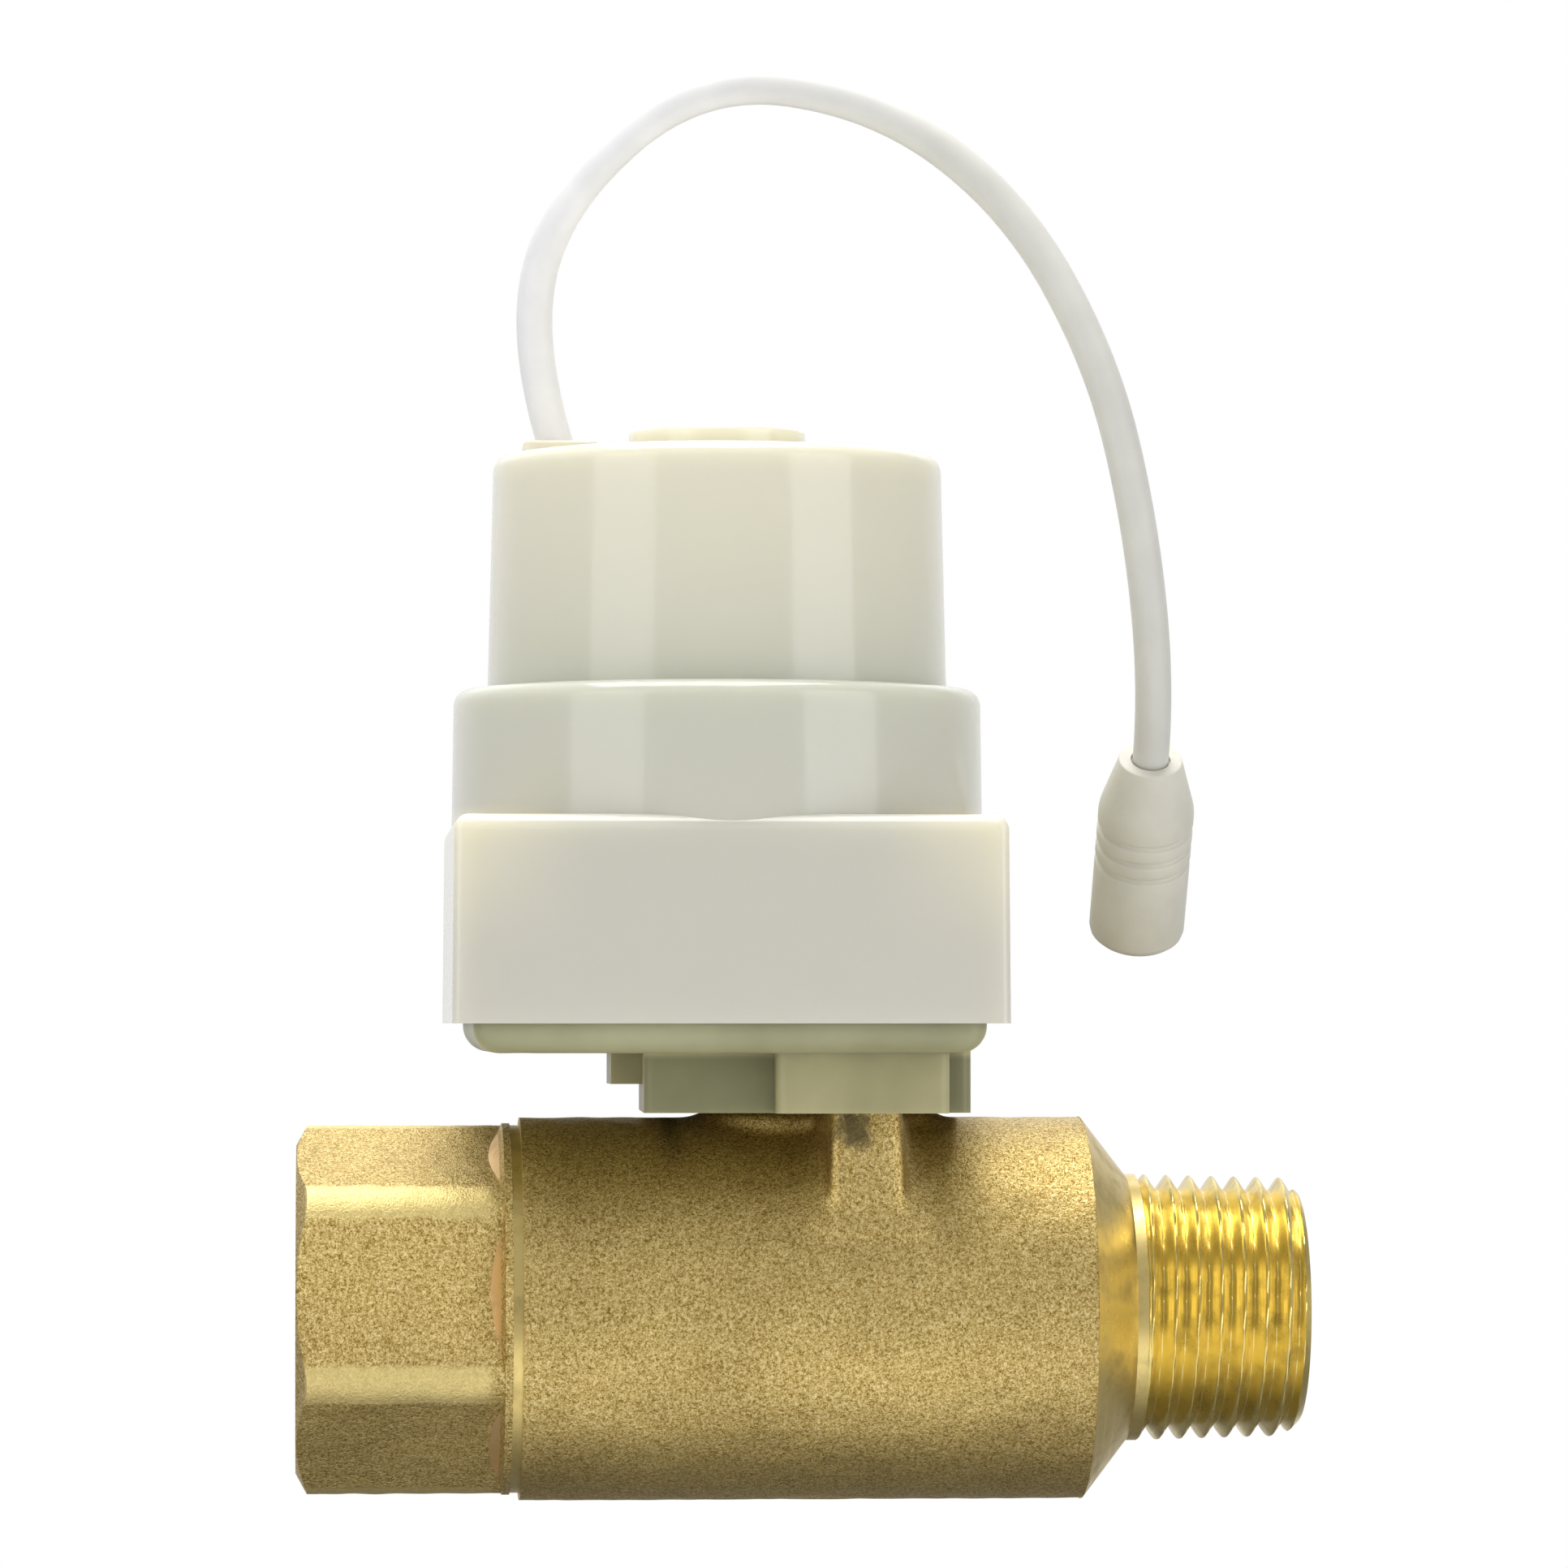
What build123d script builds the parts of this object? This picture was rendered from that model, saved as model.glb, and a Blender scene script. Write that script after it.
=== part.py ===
from build123d import *
from math import acos, atan2, cos, degrees, pi, radians, sin, sqrt, tan
import os

os.makedirs("parts", exist_ok=True)

# A motor-driven quarter-turn ball valve for a leak alarm kit: brass valve below, stepped
# plastic actuator above it, and a short cable with a round in-line socket.
# The origin is the centre of the inlet face. X follows the water to the outlet, Y goes away
# from the viewer and Z rises to the actuator. All sizes are in millimetres.

# Clearances, and how far one form runs into the next before they are joined
running_gap = 0.05
assembly_gap = 0.15
seat_gap = 0.03
root_overlap = 0.5
level_tolerance = 0.01

# Inlet end cap
hex_across_flats = 26.0
hex_length = 15.9
hex_corner_round = 2.0
hex_turn = 8.0
hex_chamfer_length = 0.95
hex_chamfer_rise = 1.75
collar_radius = 14.75
collar_length = 1.0
turned_ring_radius = 14.6
turned_ring_length = 0.8
spigot_radius = 12.95
inlet_thread_radius = 9.3155
inlet_thread_depth = 12.5
body_o_ring_thickness = 1.45
body_o_ring_groove_width = 1.9
body_o_ring_offset = 4.4

# Valve body
port_radius = 7.0
body_radius = 15.3
body_length = 45.25
cone_length = 3.55
shoulder_radius = 10.63
shoulder_length = 0.8
outlet_thread_radius = 10.4775
outlet_thread_length = 12.7
outlet_chamfer = 0.8
chamber_radius = 12.0
chamber_relief = 1.6
stem_from_body_end = 23.8

# Ball, seats and stem
ball_radius = 11.5
seat_outer_radius = 10.95
seat_bore_radius = 7.2
seat_width = 3.8
seat_back = 11.6
seat_pocket_depth = 3.0
slot_web = 1.3
slot_gap = 0.1
blade_width = 4.0
blade_length = 8.0
blade_foot_gap = 0.3
flange_gap = 0.4
flange_radius = 5.4
flange_height = 1.5
washer_height = 0.5
stem_radius = 4.0
stem_o_ring_thickness = 1.1
stem_groove_width = 1.4
lower_groove_rise = 1.3
upper_groove_rise = 4.1
drive_square = 5.5
drive_height = 5.0
drive_rise = 0.5
drive_chamfer = 0.3

# Neck of the valve body, which the actuator sits on
pad_length = 19.3
pad_width = 12.5
pad_top = 15.7
neck_radius = 5.2
mount_screw_offset = 7.4
mount_screw_radius = 1.25
mount_thread_depth = 2.8
mount_head_radius = 2.25
mount_head_height = 1.6
mount_head_sink = 0.1
mount_socket_radius = 1.0
mount_socket_depth = 0.9
screw_end_gap = 0.3
rib_width = 5.6
rib_depth = 2.2
rib_offset = 3.0
rib_front = 13.3
rib_rise = 2.7
rib_foot = 4.0

# Actuator base plate
actuator_offset = 8.0
skirt_height = 4.7
skirt_left = 15.0
skirt_right = 11.3
skirt_half_width = 12.0
skirt_corner_round = 0.8
block_left = 4.2
block_right = 9.3
block_half_width = 15.6
tab_reach = 2.0
tab_half_width = 4.0
tab_height = 2.5
base_floor = 2.2
base_show = 2.3
base_rim_wall = 1.4
base_rim_height = 4.9
base_edge_round = 2.1
base_corner_round = 1.6
base_inner_round = 1.0
core_wall = 1.6
core_depth = 3.0
snap_length = 6.0
snap_height = 0.8
snap_reach = 0.5
snap_rise = 1.2
snap_spacing = 16.0

# Actuator cover, one moulding with three steps and a boss, which closes round the gearbox and motor
cover_wall = 1.5
cover_plate_gap = 0.35
cover_motor_gap = 0.3
cover_motor_headroom = 1.2
cover_setback = 0.35
cover_box_height = 16.15
cover_box_draft = 0.5
cover_corner_round = 0.6
cover_hollow_round = 1.0
drum_root = 1.0
middle_taper = 0.15
upper_taper = 0.45
step_round = 1.25
step_round_share = 0.9
boss_radius = 7.05
boss_height = 2.1
boss_wall = 1.5
boss_round = 0.4
cover_post_radius = 2.2
cover_post_gap = 0.1
cover_screw_radius = 1.0
cover_screw_head_radius = 1.8
cover_screw_head_height = 1.3
cover_socket_radius = 0.8
cover_socket_depth = 0.8
cover_screw_length = 9.0
screw_head_gap = 0.15

# Gearbox plates and their pillars
lower_plate_thickness = 1.5
upper_plate_thickness = 1.0
plate_margin = 0.8
plate_step = 0.2
pillar_inset = 0.5
pillar_radius = 1.5
pillar_tenon_radius = 0.9
pillar_bearings = (60, 310, 195)
gear_pin_radius = 0.6
wire_slot_width = 5.0
wire_slot_margin = 0.9
lead_slot_margin = 2.2

# Gear train, one module throughout
gear_module = 0.5
pressure_angle = 20.0
tooth_addendum = 0.8
tooth_dedendum = 1.12
tooth_backlash = 0.12
root_narrowing = 0.1
pinion_teeth = 12
wheel_teeth = 30
output_teeth = 40
wheel_thickness = 2.0
pinion_thickness = 2.0
output_thickness = 2.7
output_rise = 1.2
layer_gap = 0.6
first_bearing = 130.0
third_bearing = 233.0
gear_hub_radius = 1.6
gear_end_play = 0.12
output_rim = 1.0
output_boss_wall = 1.6
output_web_depth = 0.8

# Output shaft
output_hub_radius = 5.0
output_hub_height = 5.7
output_hub_step = 0.6
output_shaft_radius = 3.0
output_collar_radius = 2.4
output_journal_radius = 1.5
output_flat = 2.5
journal_end_gap = 0.2
drive_socket_gap = 0.3
bushing_wall = 1.1
bushing_flange = 1.0
bushing_flange_height = 0.5

# Position board and its contacts
board_standoff = 2.9
board_thickness = 1.2
spacer_height = 6.3
board_side = 35.0
board_corner_cut = 7.0
board_hole_radius = 5.8
wiper_seat_radius = 4.4
wiper_thickness = 0.3
wiper_radius = 7.0
wiper_reach = 8.5
wiper_width = 1.3
wiper_gap = 0.1
finger_count = 3
finger_root = 0.8
finger_foot = 0.5
finger_drop = 0.2
frame_screw_radius = 1.0
frame_screw_head_radius = 1.7
frame_screw_head_height = 0.8
frame_screw_bearings = (43.5, 147.6, 254.5, 326.0)
frame_slot_length = 2.4
frame_slot_width = 0.5
frame_slot_depth = 0.5
frame_screw_tip_gap = 0.4
spacer_radius = 2.2
header_length = 4.6
header_width = 7.0
header_height = 4.2
header_corner_round = 0.3

# Motor, a can with two coils and a magnet rotor
motor_radius = 14.0
motor_wall = 0.7
motor_height = 16.0
motor_roof = 0.8
motor_tab_width = 3.0
motor_tab_count = 4
motor_tab_turn = 25.0
motor_tab_gap = 0.1
motor_round = 0.6
motor_hub_radius = 3.6
motor_hub_height = 1.5
motor_hub_roof = 0.5
motor_hole_radius = 1.4
bearing_radius = 2.6
bearing_height = 2.2
rotor_shaft_radius = 1.0
rotor_shaft_end_gap = 0.8
rotor_shaft_chamfer = 0.2
pinion_collar_radius = 1.9
magnet_hub_wall = 0.9
magnet_radius = 6.0
magnet_end_gap = 1.8
claw_inner_radius = 6.4
claw_outer_radius = 7.1
claw_count = 6
claw_width = 2.4
claw_blank = 2.0
claw_end_gap = 1.0
stack_gap = 0.1
pole_plate_thickness = 0.7
bobbin_sleeve_radius = 7.7
bobbin_can_gap = 0.5
bobbin_flange = 0.5
coil_flange_lip = 0.5
lead_block_reach = 2.1
lead_block_width = 6.0
lead_block_height = 4.0
lead_block_gap = 0.1
lead_notch_depth = 3.0
lead_bearing = 231.0
lead_reach = 1.2
lead_radius = 0.35
lead_count = 4
lead_pitch = 4.0

# Cable entry and lead wires
grommet_left = 12.6
grommet_corner_round = 0.5
grommet_taper = 0.08
grommet_back = 1.0
grommet_side = 6.0
grommet_rise = 1.2
grommet_neck_side = 5.0
grommet_below = 1.2
grommet_hole_depth = 0.6
wire_radius = 0.45
wire_pitch = 1.3
wire_reach = 1.0
wire_turn = 171.0

# Cable and socket
cable_radius = 1.45
cable_arc_share = 0.45
cable_points = [
    (20.6, 1.0, 69.0),
    (18.0, 0.2, 77.4),
    (20.5, -2.3, 88.3),
    (31.8, -4.2, 98.1),
    (45.8, -6.6, 96.0),
    (56.6, -7.7, 87.8),
    (63.3, -9.8, 75.3),
    (66.6, -7.8, 62.9),
    (68.4, -4.3, 49.7),
    (68.4, 0.0, 43.9),
]
socket_length = 16.5
socket_neck_radius = 2.55
socket_radius = 3.87
socket_cone_length = 4.6
socket_end_round = 0.5
socket_bore_radius = 1.8
socket_bore_depth = 13.0
socket_groove_depth = 0.3
socket_groove_width = 0.6
socket_groove_start = 6.0
socket_groove_pitch = 1.6
socket_groove_count = 3
contact_ring_radius = 2.5
contact_ring_width = 1.2
contact_ring_pitch = 3.4
contact_ring_start = 1.0
contact_ring_count = 3

# Stations along the flow line
body_start = hex_length + collar_length + turned_ring_length
body_end = body_start + body_length
stem_x = body_start + stem_from_body_end
shoulder_start = body_end + cone_length
thread_start = shoulder_start + shoulder_length
valve_length = thread_start + outlet_thread_length
spigot_end = stem_x - seat_back + seat_pocket_depth
body_bore_radius = spigot_radius + running_gap
seat_pocket_radius = seat_outer_radius + running_gap
actuator_x = stem_x - actuator_offset

# Levels up the stem
slot_floor = port_radius + slot_web
blade_foot = slot_floor + blade_foot_gap
flange_bottom = ball_radius + flange_gap
washer_bottom = flange_bottom + flange_height
stem_bore_radius = stem_radius + running_gap
base_bottom = pad_top + skirt_height
drive_bottom = base_bottom + drive_rise
drive_top = drive_bottom + drive_height
floor_top = base_bottom + base_floor
board_bottom = floor_top + board_standoff
board_top = board_bottom + board_thickness
lower_plate_bottom = board_top + spacer_height
lower_plate_top = lower_plate_bottom + lower_plate_thickness
output_layer = lower_plate_top + output_rise
output_top = output_layer + output_thickness
second_layer = output_top + layer_gap
first_layer = second_layer + wheel_thickness + layer_gap
rotor_layer = first_layer + wheel_thickness + layer_gap
upper_plate_bottom = rotor_layer + wheel_thickness + layer_gap
upper_plate_top = upper_plate_bottom + upper_plate_thickness
motor_top = upper_plate_top + motor_height
cover_bottom = base_bottom + base_show
box_top = cover_bottom + cover_box_height
middle_top = upper_plate_top + cover_wall
upper_top = motor_top + motor_hub_height + cover_motor_headroom + cover_wall
boss_top = upper_top + boss_height

# Gear centres, measured from the actuator axis
wheel_spread = gear_module * (wheel_teeth + pinion_teeth) / 2
output_spread = gear_module * (output_teeth + pinion_teeth) / 2

# Radii and widths, worked outwards from the gears and the motor to the cover
wheel_tip = gear_module * (wheel_teeth / 2 + tooth_addendum)
upper_plate_radius = wheel_spread + wheel_tip + plate_margin
lower_plate_radius = upper_plate_radius - plate_step
pillar_circle = lower_plate_radius - pillar_radius - pillar_inset
frame_screw_circle = lower_plate_radius - spacer_radius
lead_circle = motor_radius + lead_reach
wire_circle = motor_radius + wire_reach
bobbin_outer_radius = motor_radius - motor_wall - bobbin_can_gap
coil_radius = bobbin_outer_radius - coil_flange_lip
middle_top_radius = upper_plate_radius + cover_plate_gap + cover_wall
middle_radius = middle_top_radius + middle_taper
upper_top_radius = motor_radius + lead_block_reach + cover_motor_gap + cover_wall
upper_radius = upper_top_radius + upper_taper
middle_round = min(step_round, step_round_share * (middle_top_radius - upper_radius))
cover_side = 2 * (middle_radius + cover_setback)
base_side = cover_side - 2 * (cover_wall + assembly_gap)
cover_post_offset = base_side / 2 - base_rim_wall - cover_post_radius - cover_post_gap


def meeting_point(first, first_reach, second, second_reach):
    """Crossing of two circles, on the right-hand side of the line from first to second."""
    apart = second - first
    along = (first_reach**2 - second_reach**2 + apart.length**2) / (2 * apart.length)
    across = sqrt(first_reach**2 - along**2)
    step = apart.normalized()
    return first + step * along + Vector(step.Y, -step.X) * across


rotor_centre = Vector(actuator_x, 0)
output_centre = Vector(stem_x, 0)
first_centre = rotor_centre + Vector(wheel_spread, 0).rotate(Axis.Z, first_bearing)
third_centre = output_centre + Vector(output_spread, 0).rotate(Axis.Z, third_bearing)
second_centre = meeting_point(first_centre, wheel_spread, third_centre, wheel_spread)

# Reference planes and axes
flow_section = Plane.XZ
stem_section = Plane((stem_x, 0, 0), x_dir=(1, 0, 0), z_dir=(0, -1, 0))
actuator_section = Plane((actuator_x, 0, 0), x_dir=(1, 0, 0), z_dir=(0, -1, 0))
stem_axis = Axis((stem_x, 0, 0), (0, 0, 1))
actuator_axis = Axis((actuator_x, 0, 0), (0, 0, 1))


def level(height):
    """Horizontal plane whose origin is on the actuator axis."""
    return Plane((actuator_x, 0, height))


def outline(section, *corners):
    """Closed flat outline with straight sides on the given plane."""
    with BuildSketch(section) as flat:
        with BuildLine():
            Polyline(*corners, close=True)
        make_face()
    return flat.sketch


def ring_outline(section, inner, outer, low, high):
    """Rectangular section of a ring, given by radii and heights."""
    return outline(section, (inner, low), (outer, low), (outer, high), (inner, high))


def on_circle(radius, angle):
    """Point on a circle about the actuator axis, as an offset from that axis."""
    return (radius * cos(radians(angle)), radius * sin(radians(angle)))


# Places of the fasteners and pillars, as offsets from the actuator axis
pillar_places = [on_circle(pillar_circle, bearing) for bearing in pillar_bearings]
frame_screw_places = [on_circle(frame_screw_circle, bearing) for bearing in frame_screw_bearings]
mount_screw_places = [(actuator_offset - mount_screw_offset, 0), (actuator_offset + mount_screw_offset, 0)]
cover_screw_places = [(-cover_post_offset, -cover_post_offset), (-cover_post_offset, cover_post_offset)]
cover_post_places = cover_screw_places + [(-x, y) for x, y in cover_screw_places]
gear_pin_places = [
    (centre.X - actuator_x, centre.Y) for centre in (first_centre, second_centre, third_centre)
]
wire_places = [
    on_circle(wire_circle, wire_turn + degrees(step * wire_pitch / wire_circle)) for step in (-1, 0, 1)
]
lead_places = [
    on_circle(lead_circle, lead_bearing + lead_pitch * (step - (lead_count - 1) / 2))
    for step in range(lead_count)
]
grommet_place = (-grommet_left, grommet_back)

# Inlet end cap: rough hexagon, turned ring and the spigot that holds the first seat
with BuildPart() as inlet_end_cap:
    with BuildSketch(Plane.YZ) as hexagon:
        RegularPolygon(hex_across_flats / 2, 6, major_radius=False, rotation=90 - hex_turn)
        fillet(hexagon.vertices(), hex_corner_round)
    extrude(amount=hex_length)
    with BuildSketch(flow_section) as hex_limit:
        with BuildLine():
            Polyline(
                (0, 0),
                (0, collar_radius - hex_chamfer_rise),
                (hex_chamfer_length, collar_radius),
                (hex_length, collar_radius),
                (hex_length, 0),
                close=True,
            )
        make_face()
    revolve(axis=Axis.X, mode=Mode.INTERSECT)
    with BuildSketch(flow_section) as cap_profile:
        with BuildLine():
            Polyline(
                (hex_length, 0),
                (hex_length, collar_radius),
                (hex_length + collar_length, collar_radius),
                (hex_length + collar_length, turned_ring_radius),
                (body_start, turned_ring_radius),
                (body_start, spigot_radius),
                (spigot_end, spigot_radius),
                (spigot_end, 0),
                close=True,
            )
        make_face()
    revolve(axis=Axis.X)
    with BuildSketch(flow_section) as cap_bore:
        with BuildLine():
            Polyline(
                (0, 0),
                (0, inlet_thread_radius),
                (inlet_thread_depth, inlet_thread_radius),
                (inlet_thread_depth, port_radius),
                (stem_x - seat_back, port_radius),
                (stem_x - seat_back, seat_pocket_radius),
                (spigot_end, seat_pocket_radius),
                (spigot_end, 0),
                close=True,
            )
        make_face()
    revolve(axis=Axis.X, mode=Mode.SUBTRACT)
    groove_start = body_start + body_o_ring_offset
    groove_end = groove_start + body_o_ring_groove_width
    groove_floor = spigot_radius - body_o_ring_thickness
    groove = outline(
        flow_section,
        (groove_start, groove_floor),
        (groove_end, groove_floor),
        (groove_end, spigot_radius),
        (groove_start, spigot_radius),
    )
    revolve(groove, axis=Axis.X, mode=Mode.SUBTRACT)
inlet_end_cap.part.label = "inlet_end_cap"
export_step(inlet_end_cap.part, "parts/inlet_end_cap.step")

with BuildPart() as body_o_ring:
    with BuildSketch(flow_section):
        with Locations(((groove_start + groove_end) / 2, spigot_radius - body_o_ring_thickness / 2)):
            Circle(body_o_ring_thickness / 2)
    revolve(axis=Axis.X)
body_o_ring.part.label = "body_o_ring"
export_step(body_o_ring.part, "parts/body_o_ring.step")

# Valve body: barrel, neck pad with stem boss, anti-turn ribs and the outlet nose
with BuildPart() as valve_body:
    with BuildSketch(flow_section) as barrel_profile:
        with BuildLine():
            Polyline(
                (body_start, 0),
                (body_start, body_radius),
                (body_end, body_radius),
                (shoulder_start, shoulder_radius),
                (thread_start, shoulder_radius),
                (thread_start, outlet_thread_radius),
                (valve_length - outlet_chamfer, outlet_thread_radius),
                (valve_length, outlet_thread_radius - outlet_chamfer),
                (valve_length, 0),
                close=True,
            )
        make_face()
    revolve(axis=Axis.X)
    with BuildSketch(Plane((stem_x, 0, 0))) as pad:
        SlotOverall(pad_length, pad_width)
    extrude(amount=pad_top)
    with BuildSketch(Plane((stem_x + rib_offset, 0, rib_foot))) as ribs:
        Rectangle(rib_width, 2 * rib_front)
    extrude(amount=pad_top + rib_rise - rib_foot)
    with BuildSketch(Plane((stem_x + rib_offset, 0, pad_top))) as between_ribs:
        Rectangle(rib_width, 2 * (rib_front - rib_depth))
    extrude(amount=rib_rise, mode=Mode.SUBTRACT)
    with BuildSketch(Plane((stem_x, 0, pad_top))) as neck:
        Circle(neck_radius)
    extrude(amount=skirt_height)
    with BuildSketch(flow_section) as body_bore:
        with BuildLine():
            Polyline(
                (body_start, 0),
                (body_start, body_bore_radius),
                (spigot_end + chamber_relief, body_bore_radius),
                (spigot_end + chamber_relief, chamber_radius),
                (stem_x + seat_back - seat_pocket_depth, chamber_radius),
                (stem_x + seat_back - seat_pocket_depth, seat_pocket_radius),
                (stem_x + seat_back, seat_pocket_radius),
                (stem_x + seat_back, port_radius),
                (valve_length, port_radius),
                (valve_length, 0),
                close=True,
            )
        make_face()
    revolve(axis=Axis.X, mode=Mode.SUBTRACT)
    with BuildSketch(stem_section) as stem_bore:
        with BuildLine():
            Polyline(
                (0, 0),
                (flange_radius + assembly_gap, 0),
                (flange_radius + assembly_gap, washer_bottom + washer_height),
                (stem_bore_radius, washer_bottom + washer_height),
                (stem_bore_radius, base_bottom),
                (0, base_bottom),
                close=True,
            )
        make_face()
    revolve(axis=stem_axis, mode=Mode.SUBTRACT)
    with Locations(Plane((actuator_x, 0, pad_top))):
        with Locations(*mount_screw_places):
            Hole(mount_screw_radius, depth=mount_thread_depth)
valve_body.part.label = "valve_body"
export_step(valve_body.part, "parts/valve_body.step")

# Ball with its port and the stem slot across the top
with BuildPart() as ball:
    with Locations((stem_x, 0, 0)):
        Sphere(ball_radius)
    with BuildSketch(Plane((stem_x, 0, 0), x_dir=(0, 1, 0), z_dir=(1, 0, 0))) as port:
        Circle(port_radius)
    extrude(amount=ball_radius, both=True, mode=Mode.SUBTRACT)
    with BuildSketch(Plane((stem_x, 0, slot_floor))) as slot:
        Rectangle(blade_width + 2 * slot_gap, 2 * ball_radius)
    extrude(amount=ball_radius - slot_floor, mode=Mode.SUBTRACT)
ball.part.label = "ball"
export_step(ball.part, "parts/ball.step")

# Two soft seats, each a ring with a spherical face
for name, side in (("inlet_seat", -1), ("outlet_seat", 1)):
    seat_middle_x = stem_x + side * (seat_back - seat_width / 2)
    with BuildPart() as seat:
        with BuildSketch(flow_section) as seat_profile:
            with Locations((seat_middle_x, (seat_outer_radius + seat_bore_radius) / 2)):
                Rectangle(seat_width, seat_outer_radius - seat_bore_radius)
            with Locations((stem_x, 0)):
                Circle(ball_radius + seat_gap, mode=Mode.SUBTRACT)
        revolve(axis=Axis.X)
    seat.part.label = name
    export_step(seat.part, f"parts/{name}.step")

# Stem: blade for the ball, flange, shaft with two ring grooves and a square drive
with BuildPart() as stem:
    with BuildSketch(Plane((stem_x, 0, blade_foot))) as blade:
        Rectangle(blade_width, blade_length)
    extrude(amount=flange_bottom - blade_foot)
    with BuildSketch(Plane((stem_x, 0, flange_bottom))) as flange:
        Circle(flange_radius)
    extrude(amount=flange_height - running_gap)
    with BuildSketch(Plane((stem_x, 0, flange_bottom))) as shaft:
        Circle(stem_radius)
    extrude(amount=drive_bottom - flange_bottom)
    with BuildSketch(Plane((stem_x, 0, drive_bottom))) as drive:
        Rectangle(drive_square, drive_square)
    extrude(amount=drive_height)
    for rise in (lower_groove_rise, upper_groove_rise):
        low = washer_bottom + washer_height + rise
        stem_groove = ring_outline(
            stem_section, stem_radius - stem_o_ring_thickness, stem_radius, low, low + stem_groove_width
        )
        revolve(stem_groove, axis=stem_axis, mode=Mode.SUBTRACT)
    chamfer(stem.faces().sort_by(Axis.Z)[-1].edges(), drive_chamfer)
stem.part.label = "stem"
export_step(stem.part, "parts/stem.step")

for name, rise in (("stem_o_ring_lower", lower_groove_rise), ("stem_o_ring_upper", upper_groove_rise)):
    with BuildPart() as stem_o_ring:
        ring_height = washer_bottom + washer_height + rise + stem_groove_width / 2
        with BuildSketch(stem_section):
            with Locations((stem_radius - stem_o_ring_thickness / 2, ring_height)):
                Circle(stem_o_ring_thickness / 2)
        revolve(axis=stem_axis)
    stem_o_ring.part.label = name
    export_step(stem_o_ring.part, f"parts/{name}.step")

with BuildPart() as thrust_washer:
    revolve(
        ring_outline(
            stem_section, stem_bore_radius, flange_radius, washer_bottom, washer_bottom + washer_height
        ),
        axis=stem_axis,
    )
thrust_washer.part.label = "thrust_washer"
export_step(thrust_washer.part, "parts/thrust_washer.step")

# Base plate: tray with a rounded foot, the skirt round the neck and the blocks over the ribs
skirt_bottom = pad_top
with BuildPart() as base_plate:
    with BuildSketch(level(base_bottom)) as tray:
        RectangleRounded(base_side, base_side, base_corner_round)
    extrude(amount=base_rim_height)
    fillet(base_plate.faces().sort_by(Axis.Z)[0].edges(), base_edge_round)
    with BuildSketch(level(floor_top)) as tray_hollow:
        RectangleRounded(base_side - 2 * base_rim_wall, base_side - 2 * base_rim_wall, base_inner_round)
    extrude(amount=base_rim_height, mode=Mode.SUBTRACT)
    with BuildSketch(Plane((stem_x, 0, skirt_bottom))) as skirt:
        with Locations(((skirt_right - skirt_left) / 2, 0)):
            RectangleRounded(skirt_left + skirt_right, 2 * skirt_half_width, skirt_corner_round)
        with Locations(((block_right - block_left) / 2, 0)):
            RectangleRounded(block_left + block_right, 2 * block_half_width, skirt_corner_round)
    extrude(amount=skirt_height + root_overlap)
    with BuildSketch(Plane((stem_x - skirt_left, 0, base_bottom - tab_height))) as tab:
        with Locations(((root_overlap - tab_reach) / 2, 0)):
            Rectangle(tab_reach + root_overlap, 2 * tab_half_width)
    extrude(amount=tab_height + root_overlap)
    with BuildSketch(Plane((stem_x, 0, skirt_bottom))) as rib_pockets:
        rib_middle = rib_front - rib_depth / 2
        with Locations((rib_offset, rib_middle), (rib_offset, -rib_middle)):
            Rectangle(rib_width + 2 * assembly_gap, rib_depth + 2 * assembly_gap)
    extrude(amount=rib_rise + assembly_gap, mode=Mode.SUBTRACT)
    core_left = stem_x - skirt_left + core_wall
    core_right = stem_x - pad_length / 2 - core_wall
    with BuildSketch(Plane(((core_left + core_right) / 2, 0, skirt_bottom))) as core_out:
        Rectangle(core_right - core_left, 2 * (skirt_half_width - core_wall))
    extrude(amount=core_depth, mode=Mode.SUBTRACT)
    with Locations(Plane((stem_x, 0, skirt_bottom))):
        Cylinder(
            neck_radius + assembly_gap,
            skirt_height,
            align=(Align.CENTER, Align.CENTER, Align.MIN),
            mode=Mode.SUBTRACT,
        )
        Cylinder(
            stem_radius + assembly_gap,
            skirt_height + base_floor,
            align=(Align.CENTER, Align.CENTER, Align.MIN),
            mode=Mode.SUBTRACT,
        )
    with BuildSketch(level(floor_top)) as standoffs:
        with Locations(*frame_screw_places):
            Circle(spacer_radius)
    extrude(amount=board_bottom - floor_top)
    with Locations(level(board_bottom)):
        with Locations(*frame_screw_places):
            Hole(frame_screw_radius, depth=board_bottom - floor_top)
    with Locations(level(floor_top)):
        with Locations(*mount_screw_places):
            CounterBoreHole(
                mount_screw_radius + assembly_gap,
                mount_head_radius + assembly_gap,
                mount_head_height + mount_head_sink,
            )
    with Locations(Plane(level(base_bottom).origin, x_dir=(1, 0, 0), z_dir=(0, 0, -1))):
        with Locations(*cover_screw_places):
            CounterBoreHole(
                cover_screw_radius + assembly_gap,
                cover_screw_head_radius + assembly_gap,
                cover_screw_head_height + screw_head_gap,
            )
    snap_plane = Plane(
        (actuator_x + base_side / 2, 0, cover_bottom + snap_rise), x_dir=(0, 1, 0), z_dir=(1, 0, 0)
    )
    with BuildSketch(snap_plane) as snaps:
        with GridLocations(snap_spacing, 0, 2, 1):
            Rectangle(snap_length, snap_height)
    extrude(amount=snap_reach)
base_plate.part.label = "base_plate"
export_step(base_plate.part, "parts/base_plate.step")

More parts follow.
